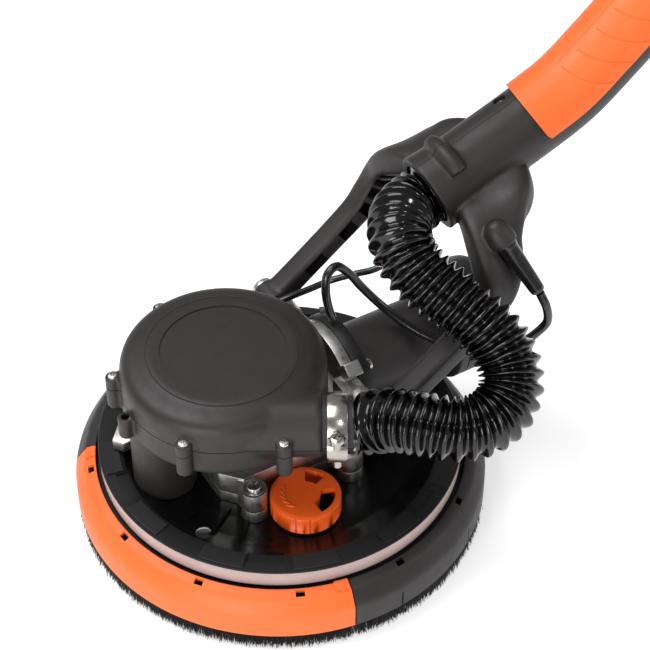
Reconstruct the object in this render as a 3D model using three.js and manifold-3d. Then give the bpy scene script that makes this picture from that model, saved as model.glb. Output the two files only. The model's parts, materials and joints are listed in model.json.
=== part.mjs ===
// Head and grip of a long-reach disc sander: a sanding pad with a gear and fan drive on top of it,
// carried in a fork at the end of a hollow handle through which the dust is drawn.
// Millimetres, +Z up. The origin is the centre of the abrasive face of the pad, on the floor, and
// +X runs along the motor, towards the handle.

import * as THREE from 'three';
import { mergeVertices } from 'three/addons/utils/BufferGeometryUtils.js';
import Module from 'manifold-3d';

const wasm = await Module();
wasm.setup();

// ---------------------------------------------------------------- driving dimensions

const DEG = Math.PI / 180;
const GAP = 0.3;                       // space left between pieces that touch
const RING = 36;                       // facets around the large rings

const PAD_RADIUS = 112.5;              // a 225 mm sanding disc
const SKIRT_RADIUS = 123;
const SHROUD_RADIUS = 105.5;
const SHROUD_FLOOR = 43;               // top of the floor inside the shroud
const SHROUD_RIM = 50;
const FRONT_START = 150 * DEG;         // the removable front of the skirt
const FRONT_END = 260 * DEG;

const SHAFT_X = -34;                   // vertical drive shaft, beside the spindle
const MOTOR_Z = 78;                    // height of the motor's axis
const CAP_RADIUS = 33.8;               // the motor's rear cap, and its rise above the motor's axis
const CAP_RISE = 7.2;
const BASE_BOTTOM = SHROUD_FLOOR + GAP;
const CASE_BOTTOM = 51.8;
const CASE_STEP = 66;
const CASE_TOP = 91.4;

const FAN_X = -34;                     // centre of the round fan housing
const FAN_Y = 3;
const FAN_RADIUS = 59;
const FAN_BOTTOM = 91.7;
const FAN_SPLIT = 111;
const FAN_TOP = 133;
const DUCT_RADIUS = 18.3;
const SPOUT_ANGLE = -31 * DEG;         // the spout leaves the housing at this heading
const SPOUT_OFFSET = 38.9;             // from the housing's centre to the spout's axis
const SPOUT_Z = 113;
const PIPE = [-73, 8];                 // the suction pipe beside the gear case
const KNOB = [-15, -55];               // the knob that lets air into the shroud

const SPUR_MODULE = 1.259;             // 12 and 42 teeth at 34 mm between centres
const PINION_TEETH = 12;
const WHEEL_TEETH = 42;
const BEVEL_PITCH = 13;                // pitch radius of the bevel wheel, twice the pinion's
const BEVEL_TEETH = 14;

const PIVOT = [30, 95];                // the fork's pivot line, in x and z
const TINE_INNER = 52.5;
const TINE_OUTER = 68;
const NECK = [98, 191.5];                // mouth of the neck, in x and z
const NECK_RADIUS = 23;
const DUCT_BORE = 14.5;

// ---------------------------------------------------------------- solids

function toSolid(geometry) {
  const plain = geometry.index ? geometry.toNonIndexed() : geometry.clone();
  plain.deleteAttribute('normal');
  plain.deleteAttribute('uv');
  const merged = mergeVertices(plain, 1e-4);
  const points = new Float32Array(merged.attributes.position.array);
  const faces = [];
  const index = merged.index.array;
  for (let i = 0; i < index.length; i += 3) {
    const [a, b, c] = [index[i], index[i + 1], index[i + 2]];
    if (a !== b && b !== c && c !== a) faces.push(a, b, c);
  }
  const build = (list) => new wasm.Manifold(
    new wasm.Mesh({ numProp: 3, vertProperties: points, triVerts: new Uint32Array(list) }),
  );
  const solid = build(faces);
  if (solid.volume() >= 0) return solid;
  for (let i = 0; i < faces.length; i += 3) [faces[i], faces[i + 1]] = [faces[i + 1], faces[i]];
  return build(faces);
}

function toGeometry(solid) {
  const mesh = solid.getMesh();
  const geometry = new THREE.BufferGeometry();
  geometry.setAttribute('position', new THREE.BufferAttribute(new Float32Array(mesh.vertProperties), 3));
  geometry.setIndex(new THREE.BufferAttribute(new Uint32Array(mesh.triVerts), 1));
  return geometry;
}

const join = (...solids) => solids.reduce((sum, next) => sum.add(next));
const cut = (body, ...tools) => tools.reduce((rest, tool) => rest.subtract(tool), body);

// A closed outline of (radius, z) points turned about the Z axis.
function turned(outline, segments) {
  const points = outline.map(([r, z]) => new THREE.Vector2(r, z));
  const open = outline[0][0] === 0 && outline[outline.length - 1][0] === 0;
  if (!open) points.push(points[0].clone());
  const geometry = new THREE.LatheGeometry(points, segments);
  geometry.rotateX(Math.PI / 2);
  return toSolid(geometry);
}

// The part of a turned solid between two headings about the Z axis.
function slice(solid, from, sweep) {
  const reach = 400;
  const steps = Math.ceil(sweep / (30 * DEG));
  const arc = Array.from({ length: steps + 1 }, (_, i) => {
    const t = from + sweep * (i / steps);
    return [reach * Math.cos(t), reach * Math.sin(t)];
  });
  return solid.intersect(raised([[0, 0], ...arc], -100, 400));
}

// A round bar or ring from z0 to z1.
function round(radius, z0, z1, segments = 24, bore = 0) {
  const outline = bore > 0
    ? [[bore, z0], [radius, z0], [radius, z1], [bore, z1]]
    : [[0, z0], [radius, z0], [radius, z1], [0, z1]];
  return turned(outline, segments);
}

function block(x0, x1, y0, y1, z0, z1) {
  const geometry = new THREE.BoxGeometry(x1 - x0, y1 - y0, z1 - z0);
  geometry.translate((x0 + x1) / 2, (y0 + y1) / 2, (z0 + z1) / 2);
  return toSolid(geometry);
}

// A flat outline of (x, y) points raised from z0 to z1.
function raised(outline, z0, z1, curveSegments = 10) {
  const shape = outline instanceof THREE.Shape
    ? outline
    : new THREE.Shape(outline.map(([x, y]) => new THREE.Vector2(x, y)));
  const geometry = new THREE.ExtrudeGeometry(shape, { depth: z1 - z0, bevelEnabled: false, curveSegments });
  geometry.translate(0, 0, z0);
  return toSolid(geometry);
}

// Moves a solid by an Euler turn and a shift.
function moved(solid, [x, y, z], [rx, ry, rz] = [0, 0, 0]) {
  const matrix = new THREE.Matrix4().compose(
    new THREE.Vector3(x, y, z),
    new THREE.Quaternion().setFromEuler(new THREE.Euler(rx, ry, rz)),
    new THREE.Vector3(1, 1, 1),
  );
  return solid.transform(matrix.elements);
}

const alongX = (solid, [x, y, z] = [0, 0, 0]) => moved(solid, [x, y, z], [0, Math.PI / 2, 0]);
const alongY = (solid, [x, y, z] = [0, 0, 0]) => moved(solid, [x, y, z], [-Math.PI / 2, 0, 0]);

// A skin over rings of equal point counts, closed with a flat cap at each end.
function lofted(rings) {
  const count = rings[0].length;
  const points = rings.flat();
  const first = new THREE.Vector3();
  const last = new THREE.Vector3();
  rings[0].forEach((p) => first.addScaledVector(p, 1 / count));
  rings[rings.length - 1].forEach((p) => last.addScaledVector(p, 1 / count));
  points.push(first, last);
  const faces = [];
  for (let i = 0; i < count; i += 1) {
    const j = (i + 1) % count;
    faces.push(points.length - 2, j, i);
    for (let k = 0; k + 1 < rings.length; k += 1) {
      const [a, b] = [k * count + i, k * count + j];
      faces.push(a, b, b + count, a, b + count, a + count);
    }
    const top = (rings.length - 1) * count;
    faces.push(points.length - 1, top + i, top + j);
  }
  const geometry = new THREE.BufferGeometry();
  geometry.setFromPoints(points);
  geometry.setIndex(faces);
  return toSolid(geometry);
}

// A rounded-rectangle ring at a point: half sizes along side and up, corners of the given power.
function section(centre, side, up, halfSide, halfUp, count = 16, power = 2) {
  const ring = [];
  for (let i = 0; i < count; i += 1) {
    const t = (i / count) * 2 * Math.PI;
    const c = Math.cos(t);
    const s = Math.sin(t);
    const a = Math.sign(c) * Math.abs(c) ** (2 / power) * halfSide;
    const b = Math.sign(s) * Math.abs(s) ** (2 / power) * halfUp;
    ring.push(centre.clone().addScaledVector(side, a).addScaledVector(up, b));
  }
  return ring;
}

// A plain round cord or hose along a list of points.
function cordTube(route, radius, sides, steps) {
  const curve = new THREE.CatmullRomCurve3(route.map((p) => new THREE.Vector3(...p)), false, 'centripetal');
  const shape = new THREE.Shape();
  for (let i = 0; i < sides; i += 1) {
    const t = (i / sides) * 2 * Math.PI;
    const [x, y] = [radius * Math.cos(t), radius * Math.sin(t)];
    if (i === 0) shape.moveTo(x, y);
    else shape.lineTo(x, y);
  }
  shape.closePath();
  return toSolid(new THREE.ExtrudeGeometry(shape, { steps, bevelEnabled: false, extrudePath: curve }));
}

// ---------------------------------------------------------------- materials

function finish(color, roughness, metalness = 0) {
  return new THREE.MeshStandardMaterial({ color, roughness, metalness });
}

const materials = {
  charcoal: finish(0x3b3736, 0.55),
  black: finish(0x141414, 0.35),
  glossBlack: finish(0x0c0c0c, 0.15),
  orange: finish(0xf26a26, 0.45),
  lamp: finish(0xd9c3be, 0.3),
  casting: finish(0xa9a7a3, 0.45, 0.9),
  steel: finish(0xc9c8c4, 0.3, 1),
  chrome: finish(0xe3ded6, 0.15, 1),
  copper: finish(0xa8622e, 0.4, 1),
  foam: finish(0x1c1c1e, 0.9),
  abrasive: finish(0x7a4a30, 0.95),
  rubber: finish(0x101010, 0.5),
  bristle: finish(0x0a0a0a, 0.8),
};

const model = new THREE.Group();

// Adds a solid to the model as one named piece. An optional group carries its place.
function piece(name, solid, material, parent = model) {
  const mesh = new THREE.Mesh(toGeometry(solid), materials[material]);
  mesh.name = name;
  parent.add(mesh);
}

// ---------------------------------------------------------------- sanding pad and spindle

function makeSpindleLine() {
  const dustHole = (z0, z1) => Array.from({ length: 8 }, (_, i) => {
    const t = (i + 0.5) * 45 * DEG;
    return moved(round(6, z0, z1, 8), [78 * Math.cos(t), 78 * Math.sin(t), 0]);
  });
  piece('abrasive_disc', cut(round(PAD_RADIUS, 0, 1.6, RING), ...dustHole(-1, 3)), 'abrasive');
  const foam = turned([[20, 1.9], [PAD_RADIUS, 1.9], [PAD_RADIUS, 11], [109.5, 14.6], [20, 14.6]], RING);
  piece('foam_pad', cut(foam, ...dustHole(0, 16)), 'foam');
  const plate = turned([[6.3, 14.9], [100, 14.9], [100, 17], [94, 18.9], [22, 18.9], [16, 24], [6.3, 24]], RING);
  const ribs = Array.from({ length: 6 }, (_, i) => moved(block(20, 90, -1.2, 1.2, 18, 22), [0, 0, 0], [0, 0, i * 60 * DEG]));
  piece('pad_plate', cut(join(plate, ...ribs), ...dustHole(12, 25)), 'black');
  piece('spindle', turned([[0, 8], [9, 8], [9, 13], [6, 13.5], [6, 60.8], [4, 62], [4, 66], [0, 66]], 16), 'steel');
}

// A spur gear: straight-sided teeth on a round blank with a bore.
function spurGear(teeth, bore, z0, z1, phase) {
  const pitch = SPUR_MODULE * teeth / 2;
  const tip = pitch + 0.8 * SPUR_MODULE;
  const root = pitch - 1.1 * SPUR_MODULE;
  const outline = [];
  for (let i = 0; i < teeth; i += 1) {
    const middle = phase + (i / teeth) * 2 * Math.PI;
    for (const [r, half] of [[root, 0.92], [tip, 0.38]]) {
      outline.push([r, middle - half * SPUR_MODULE / r]);
    }
    for (const [r, half] of [[tip, 0.38], [root, 0.92]]) {
      outline.push([r, middle + half * SPUR_MODULE / r]);
    }
  }
  const flat = outline.map(([r, t]) => [r * Math.cos(t), r * Math.sin(t)]);
  return cut(raised(flat, z0, z1), round(bore, z0 - 1, z1 + 1, 16));
}

// A bevel gear with its apex at the origin and its teeth tapering towards it along -Z.
function bevelGear(teeth, pitch, distance, tip, root, hub, bore, phase) {
  const small = 0.62;
  const width = Math.PI * pitch / teeth;
  const outline = [];
  for (let i = 0; i < teeth; i += 1) {
    const middle = phase + (i / teeth) * 2 * Math.PI;
    for (const [r, half] of [[root, 0.56], [tip, 0.26]]) outline.push([r, middle - half * width / r]);
    for (const [r, half] of [[tip, 0.26], [root, 0.56]]) outline.push([r, middle + half * width / r]);
  }
  const ring = (k) => outline.map(([r, t]) => new THREE.Vector3(
    k * r * Math.cos(t), k * r * Math.sin(t), -k * distance,
  ));
  const blank = lofted([ring(small), ring(1)]);
  const back = turned([[0, -distance - hub], [root * 0.7, -distance - hub], [root, -distance - 1],
    [root, -distance + 0.2], [0, -distance + 0.2]], 16);
  return cut(join(blank, back), round(bore, -distance - hub - 1, 0, 16));
}

function makeGears() {
  const wheelPhase = Math.PI;                                  // a tooth points at the pinion
  const pinionPhase = Math.PI / PINION_TEETH;                  // and the pinion shows it a space
  piece('spindle_gear', spurGear(WHEEL_TEETH, 6.3, 54, 60, wheelPhase), 'steel');
  const pinion = moved(spurGear(PINION_TEETH, 4.3, 53.4, 60.8, pinionPhase), [SHAFT_X, 0, 0]);
  piece('drive_pinion', pinion, 'steel');
  const wheel = bevelGear(BEVEL_TEETH, BEVEL_PITCH, BEVEL_PITCH / 2, 15.0, 10.9, 4.5, 4.3, 0);
  piece('bevel_wheel', moved(wheel, [SHAFT_X, 0, MOTOR_Z]), 'steel');
}

// ---------------------------------------------------------------- shroud, lamp ring and knob

function makeShroud() {
  const rim = SHROUD_RADIUS;
  const outline = [
    [16, 40], [80, 40], [102.8, 45.5], [103, 22], [rim, 22], [rim, 32.8], [109.4, 32.8], [109.4, 35.2],
    [rim, 35.2], [rim, SHROUD_RIM - 0.6], [108.2, SHROUD_RIM - 0.6], [108.2, SHROUD_RIM + 0.2], [95, 49.8],
    [80, SHROUD_FLOOR], [16, SHROUD_FLOOR],
  ];
  let shroud = turned(outline, RING);
  // Raised pads around the rim.
  const padRing = turned([[96.5, 49.5], [107.4, 49.5], [107.4, 51], [97.2, 51]], RING);
  const pads = [28, 88, 208, 238, 268].map((angle) => slice(padRing, angle * DEG, 16 * DEG));
  shroud = join(shroud, ...pads);
  // The suction pipe stands in a pocket over the hole that the dust leaves by.
  const pocket = moved(round(19.2, SHROUD_FLOOR + 0.05, 60, 24), [...PIPE, 0]);
  const dustHole = moved(round(15.5, 30, 60, 20), [...PIPE, 0]);
  const bleedHole = moved(round(12, 30, 60, 16), [...KNOB, 0]);
  const post = moved(join(round(4, 41, 50.5, 12), block(-13, 13, -1.5, 1.5, 40, 43)), [...KNOB, 0]);
  piece('shroud', join(cut(shroud, pocket, dustHole, bleedHole), post), 'glossBlack');
  piece('lamp_ring', round(107.8, 38.5, SHROUD_RIM - 0.8, RING, rim + GAP), 'lamp');
}

function makeSuctionKnob() {
  const body = turned([[4.35, 49], [8, 49], [8, 54], [17.5, 54], [17.5, 44.6], [20.6, 44.6], [20.6, 55.8],
    [19.4, 57.2], [4.35, 57.2]], 24);
  const opening = turned([[9, 50], [17, 50], [17, 60], [9, 60]], 24);
  const windows = [[-88, 70], [17, 44]].map(([from, sweep]) => slice(opening, from * DEG, sweep * DEG));
  const group = new THREE.Group();
  group.position.set(...KNOB, 0);
  model.add(group);
  piece('suction_knob', cut(body, ...windows), 'orange', group);
}

// ---------------------------------------------------------------- floating brush skirt

const SKIRT_SHELL = [
  [121.2, 12], [SKIRT_RADIUS, 12], [SKIRT_RADIUS, 25], [121.6, 31], [117.6, 36.6], [111, 39],
  [110.3, 38.4], [110.3, 37.2], [116.4, 35.6], [119.8, 30.4], [121.2, 25],
];

function makeSkirt() {
  const front = FRONT_END - FRONT_START;
  const split = GAP / SKIRT_RADIUS;
  const rearSweep = 2 * Math.PI - front - 2 * split;
  const shell = join(turned(SKIRT_SHELL, RING), round(121.8, 15.6, 17.8, RING, 114.8));
  const carrier = round(115, 15.6, 17.8, RING, 106.2);
  const rear = slice(join(shell, carrier), FRONT_END + split, rearSweep);
  const inner = round(114.4, 15.6, 17.8, RING, 106.2);
  piece('skirt_ring', join(rear, inner), 'charcoal');
  piece('front_skirt', slice(shell, FRONT_START + split, front - 2 * split), 'orange');

  const bristles = round(120.9, 0, 15.3, RING, 117.2);
  piece('rear_brush', slice(bristles, FRONT_END + 2 * split, rearSweep - 2 * split), 'bristle');
  piece('front_brush', slice(bristles, FRONT_START + 2 * split, front - 4 * split), 'bristle');
}

function makeSkirtSprings() {
  const turns = 2.5;
  const [low, high] = [18.9, 31.7];
  for (let n = 0; n < 4; n += 1) {
    const angle = (30 + 90 * n) * DEG;
    const centre = [108.2 * Math.cos(angle), 108.2 * Math.sin(angle)];
    const route = Array.from({ length: 26 }, (_, i) => {
      const t = (i / 25) * turns * 2 * Math.PI;
      return [centre[0] + 1.4 * Math.cos(t), centre[1] + 1.4 * Math.sin(t), low + (high - low) * (i / 25)];
    });
    piece(`skirt_spring_${n + 1}`, cordTube(route, 0.5, 4, 25), 'steel');
  }
}

// ---------------------------------------------------------------- gear case

const EARS = [[-42, -43], [21, -45], [-42, 43], [21, 45]];

function makeGearCase() {
  const plan = [[-53.8, -24], [-44, -35], [36, -35], [36, 35], [-44, 35], [-53.8, 24]];
  // Room for the suction knob beside the case.
  const knobRoom = moved(round(21.6, 40, CASE_STEP + 2, 30), [...KNOB, 0]);
  let base = raised(plan, BASE_BOTTOM, 51.5);
  for (const [x, y] of EARS) {
    base = join(base, moved(round(7.5, BASE_BOTTOM, 51.5, 16), [x, y, 0]),
      block(x - 5, x + 5, Math.min(y, 0), Math.max(y, 0), BASE_BOTTOM, 51.5));
  }
  base = cut(base, knobRoom, round(14.3, 40, 54, 24), moved(round(9.3, BASE_BOTTOM + 1.2, 54, 20), [SHAFT_X, 0, 0]));
  piece('gear_case_base', base, 'casting');

  const arm = raised([[-48, 12], [-48, 34], [-83, 47], [-92, 37], [-88, 31], [-66, 31], [-56, 27]], 52, 59);
  let gearCase = join(raised(plan, CASE_BOTTOM, CASE_STEP), arm);
  for (const [x, y] of EARS) {
    gearCase = join(gearCase, moved(round(7.5, CASE_BOTTOM, CASE_STEP - 1, 16), [x, y, 0]),
      block(x - 5, x + 5, Math.min(y, 0), Math.max(y, 0), CASE_BOTTOM, CASE_STEP - 2));
  }
  const tower = raised([[-53.8, -15], [-46, -24], [30, -24], [30, 24], [-46, 24], [-53.8, 15]], CASE_STEP - 1, CASE_TOP);
  gearCase = join(gearCase, tower, archPlate(36, 29, 36));
  // Trunnions carry the fork's pivot bolts.
  for (const side of [-1, 1]) {
    const boss = alongY(round(9, 38, 50, 20), [PIVOT[0], 0, PIVOT[1]]);
    const web = block(23, 35.9, 22, 42, 86, 101);
    const hole = alongY(round(4.3, 42, 52, 12), [PIVOT[0], 0, PIVOT[1]]);
    const trunnion = cut(join(boss, web), hole);
    gearCase = join(gearCase, side > 0 ? trunnion : trunnion.mirror([0, 1, 0]));
  }
  const spurRoom = join(round(30, 51, 63, 32), moved(round(11, 51, 63, 20), [SHAFT_X, 0, 0]));
  const bevelRoom = moved(round(16.8, 51, 86.5, 28), [SHAFT_X, 0, 0]);
  const tunnel = alongX(round(9.3, -34, 40, 24), [0, 0, MOTOR_Z]);
  const upperSeat = moved(round(7.3, 86, 89.9, 24), [SHAFT_X, 0, 0]);
  const shaftHole = moved(round(5, 85, 95, 20), [SHAFT_X, 0, 0]);
  const spindleSeat = round(8.3, 62, 66.2, 24);
  piece('gear_case', cut(gearCase, knobRoom, spurRoom, bevelRoom, tunnel, upperSeat, shaftHole, spindleSeat), 'casting');
}

// An arch-shaped plate across the X axis, round above the motor and flat on its feet.
function archPlate(half, x0, x1) {
  const foot = CASE_BOTTOM - MOTOR_Z;
  const shape = new THREE.Shape();
  shape.moveTo(foot, -half);
  shape.lineTo(0, -half);
  shape.absarc(0, 0, half, -Math.PI / 2, Math.PI / 2, false);
  shape.lineTo(foot, half);
  shape.closePath();
  const plate = raised(shape, x0, x1, 14);
  // The outline's x runs up and its thickness along X.
  return plate.transform([0, 0, 1, 0, 0, 1, 0, 0, 1, 0, 0, 0, 0, 0, MOTOR_Z, 1]);
}

function makeBearings() {
  const vertical = (name, radius, bore, z0, z1, x) => {
    piece(name, moved(round(radius, z0, z1, 16, bore), [x, 0, 0]), 'steel');
  };
  vertical('spindle_bearing_lower', 14, 6.3, 44, 51, 0);
  vertical('spindle_bearing_upper', 8, 4.3, 62.2, 65.9, 0);
  vertical('shaft_bearing_lower', 9, 4.3, 44.9, 51, SHAFT_X);
  vertical('shaft_bearing_upper', 7, 4.3, 86.2, 89.6, SHAFT_X);
  const level = (name, radius, x0, x1) => {
    piece(name, alongX(round(radius, x0, x1, 16, 4.3), [0, 0, MOTOR_Z]), 'steel');
  };
  level('pinion_bearing', 9, -9, -2);
  level('motor_bearing_front', 10, 37, 43.5);
  level('motor_bearing_rear', 8, 103.2, 108);
}

// ---------------------------------------------------------------- fan housing

const heading = [Math.cos(SPOUT_ANGLE), Math.sin(SPOUT_ANGLE)];
const spoutFoot = [FAN_X + SPOUT_OFFSET * heading[1], FAN_Y - SPOUT_OFFSET * heading[0]];
const spoutPoint = (t) => [spoutFoot[0] + t * heading[0], spoutFoot[1] + t * heading[1], SPOUT_Z];

// A round solid along the spout's axis, from distance t0 to t1.
function alongSpout(radius, t0, t1, segments = 24, bore = 0) {
  return moved(alongX(round(radius, t0, t1, segments, bore)), spoutPoint(0), [0, 0, SPOUT_ANGLE]);
}

// Screw bosses around the housing: heading from its centre and reach beyond its wall.
const RIM_BOSSES = [[155, 3.5], [97, 4], [62, 3], [220, 2.5], [270, 9]].map(([angle, beyond]) => [
  FAN_X + (FAN_RADIUS + beyond) * Math.cos(angle * DEG),
  FAN_Y + (FAN_RADIUS + beyond) * Math.sin(angle * DEG),
]);

function rimBosses(z0, z1) {
  return RIM_BOSSES.map(([x, y]) => {
    const boss = moved(round(4.6, z0, z1, 8), [x, y, 0]);
    const dx = FAN_X - x;
    const dy = FAN_Y - y;
    const reach = Math.hypot(dx, dy);
    const web = moved(block(0, reach - FAN_RADIUS + 2, -3, 3, z0 + 2, z1 - 1), [x, y, 0], [0, 0, Math.atan2(dy, dx)]);
    return join(boss, web);
  });
}

function makeFanHousing() {
  const at = (solid) => moved(solid, [FAN_X, FAN_Y, 0]);
  const below = block(-200, 200, -200, 200, 0, FAN_SPLIT - GAP / 2);
  const above = block(-200, 200, -200, 200, FAN_SPLIT + GAP / 2, 300);
  const spout = join(alongSpout(DUCT_RADIUS, 8, 56), alongSpout(16.4, 55, 73));
  const bore = alongSpout(14.6, 12, 80);
  const room = at(turned([[0, 94.2], [56.4, 94.2], [56.4, 120], [52, 128], [0, 130.4]], 32));

  let shell = at(turned([[0, FAN_BOTTOM], [56, FAN_BOTTOM], [FAN_RADIUS, 95], [FAN_RADIUS, FAN_SPLIT], [0, FAN_SPLIT]], RING));
  shell = join(shell, spout, moved(round(18.5, SHROUD_FLOOR + 0.4, 100, 24), [...PIPE, 0]), ...rimBosses(96, FAN_SPLIT));
  shell = cut(shell, room, bore, moved(round(15.5, 30, 110, 20), [...PIPE, 0]), moved(round(5.5, 85, 100, 20), [SHAFT_X, 0, 0]));
  piece('fan_shell', shell.intersect(below), 'charcoal');

  const dome = [[0, 132.2], [35.4, 132.2], [36.2, FAN_TOP], [43, FAN_TOP], [44, 132.1], [52, 130.6], [56.6, 127.8],
    [58.6, 124], [FAN_RADIUS, 119], [FAN_RADIUS, FAN_SPLIT - 1], [0, FAN_SPLIT - 1]].reverse();
  let cover = join(at(turned(dome, RING)), spout, ...rimBosses(FAN_SPLIT - 1, 118.5));
  cover = cut(cover, room, bore);
  piece('fan_cover', cover.intersect(above), 'charcoal');

  const inlet = cut(at(round(56.1, 99.4, 101, 36)), moved(round(15, 90, 110, 24), [SHAFT_X, 0, 0]),
    alongSpout(15, 12, 80));
  piece('fan_inlet_plate', inlet, 'black');
}

function makeImpeller() {
  const hub = turned([[4.3, 104], [8, 104], [10, 118], [36, 120.5], [36, 122], [4.3, 122]], 28);
  const blade = block(9, 35.5, -0.8, 0.8, 104, 121);
  const blades = Array.from({ length: 7 }, (_, i) => moved(moved(blade, [0, 0, 0], [0, 0, -0.35]).translate([0, 2, 0]),
    [0, 0, 0], [0, 0, i * 360 / 7 * DEG]));
  const wheel = cut(join(hub, ...blades), round(4.3, 100, 130, 24));
  piece('impeller', moved(wheel, [SHAFT_X, 0, 0]), 'black');
  piece('drive_shaft', moved(round(4, 46, 123.5, 20), [SHAFT_X, 0, 0]), 'steel');
}

function makeClamp() {
  const band = alongSpout(19.4, 59, 69, 32, 16.8);
  // The worm housing sits on the side of the band away from the motor.
  const out = [-Math.sin(SPOUT_ANGLE + Math.PI), Math.cos(SPOUT_ANGLE + Math.PI)];
  const [x, y] = spoutPoint(64);
  const housing = moved(block(-5.4, 5.4, -5, 4.4, -8, 8), [x + 22 * out[0], y + 22 * out[1], SPOUT_Z], [0, 0, SPOUT_ANGLE]);
  const tail = moved(block(-4, 4, -1.4, 1.4, -17, -4), [x + 20.5 * out[0], y + 20.5 * out[1], SPOUT_Z], [0, 0, SPOUT_ANGLE]);
  piece('hose_clamp', join(band, housing, tail), 'chrome');
}

// ---------------------------------------------------------------- motor

function makeMotor() {
  const line = new THREE.Group();
  line.position.set(0, 0, MOTOR_Z);
  line.rotation.y = Math.PI / 2;         // along the line, +Z is away from the gear case and -X is up
  model.add(line);

  const flange = cut(archPlate(37.5, 36.3, 44.2), alongX(round(10.3, 30, 50, 24), [0, 0, MOTOR_Z]));
  piece('motor_flange', flange, 'black');

  const tube = turned([[23.6, 44.5], [26, 44.5], [26, 98], [27.2, 104], [23.6, 104]], 24);
  const wall = moved(round(CAP_RADIUS, 103.6, 110.8, 28), [-CAP_RISE, 0, 0]);
  const room = round(23.6, 40, 103.8, 24);
  const seat = round(8.3, 100, 108.2, 24);
  const shaftHole = round(5, 100, 120, 20);
  const air = Array.from({ length: 4 }, (_, i) => round(4, 100, 120, 8).translate(
    [15.5 * Math.cos(i * 90 * DEG), 15.5 * Math.sin(i * 90 * DEG), 0],
  ));
  piece('motor_housing', cut(join(tube, wall), room, seat, shaftHole, ...air), 'charcoal', line);

  const r = CAP_RADIUS;
  const cap = turned([[r - 2.4, 111.1], [r, 111.1], [r, 136], [r - 4, 143.5], [r - 12, 147.5], [0, 149], [0, 146.6],
    [r - 13, 145], [r - 6, 141.5], [r - 2.4, 135]], 28);
  const slots = Array.from({ length: 4 }, (_, i) => block(-19, 19, -13.5 + i * 8, -10.5 + i * 8, 140, 160));
  piece('motor_end_cap', moved(cut(cap, ...slots), [-CAP_RISE, 0, 0]), 'charcoal', line);

  piece('stator', round(23.2, 54, 88, 28, 14.8), 'copper', line);
  const rotor = turned([[0, -26], [3.9, -26], [3.9, 54], [13.8, 56], [13.8, 86], [8.4, 88], [8.4, 99], [3.9, 99.5],
    [3.9, 110], [0, 110]], 16);
  piece('armature', rotor, 'steel', line);
  const hub = round(7, 46, 52, 20, 4.3);
  const vanes = Array.from({ length: 6 }, (_, i) => moved(block(6, 20.5, -0.7, 0.7, 46.5, 51.5), [0, 0, 0], [0, 0, i * 60 * DEG]));
  piece('cooling_fan', join(hub, round(21, 50.6, 52, 20, 5), ...vanes), 'black', line);
  for (const [name, side] of [['carbon_brush_left', 1], ['carbon_brush_right', -1]]) {
    const y = side * 16;
    piece(name, block(-3.5, 3.5, y - 7, y + 7, 90, 97), 'black', line);
  }
  // The bevel pinion's apex is on the vertical shaft, and its teeth widen towards the motor.
  const pinion = bevelGear(BEVEL_TEETH / 2, BEVEL_PITCH / 2, BEVEL_PITCH, 7.4, 5.36, 6, 4.2, Math.PI / (BEVEL_TEETH / 2));
  piece('bevel_pinion', moved(pinion, [0, 0, SHAFT_X], [Math.PI, 0, 0]), 'steel', line);
}

function makePivotBolts() {
  for (const [name, side] of [['pivot_bolt_left', 1], ['pivot_bolt_right', -1]]) {
    const bolt = turned([[0, 43], [4, 43], [4, TINE_OUTER + 0.4], [7.5, TINE_OUTER + 0.4], [7.5, 71.5], [6, 73], [0, 73]], 12);
    const placed = alongY(bolt, [PIVOT[0], 0, PIVOT[1]]);
    piece(name, side > 0 ? placed : placed.mirror([0, 1, 0]), 'steel');
  }
}

// ---------------------------------------------------------------- fork and handle

const SIDE = new THREE.Vector3(0, 1, 0);

// Centre line of the handle in the X-Z plane: up through the neck, then a steeper straight grip.
const HANDLE_LINE = [[98, 191.5], [132, 204], [166, 216.5], [192, 228], [216, 246], [249.3, 274], [282.7, 302], [316, 330]];
const handleCurve = new THREE.CatmullRomCurve3(HANDLE_LINE.map(([x, z]) => new THREE.Vector3(x, 0, z)));
const GRIP_START = 0.29;
const GRIP_END = 0.8;

// Rings along part of the handle's centre line, with half sizes from a function of the distance.
function handleRings(from, to, steps, size, count = 20, drop = 0, power = 2) {
  return Array.from({ length: steps + 1 }, (_, i) => {
    const u = from + (to - from) * (i / steps);
    const tangent = handleCurve.getTangentAt(u);
    const up = new THREE.Vector3(-tangent.z, 0, tangent.x);
    const [halfSide, halfUp] = size(u);
    const centre = handleCurve.getPointAt(u).addScaledVector(up, -drop);
    return section(centre, SIDE, up, halfSide, halfUp, count, power);
  });
}

// A frame fixed to the straight part of the grip: s along it, n above it, y across.
const gripOrigin = new THREE.Vector3(216, 0, 246);
const gripAngle = 40 * DEG;
function onGrip(solid) {
  return moved(solid, gripOrigin.toArray(), [0, -gripAngle, 0]);
}

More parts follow.
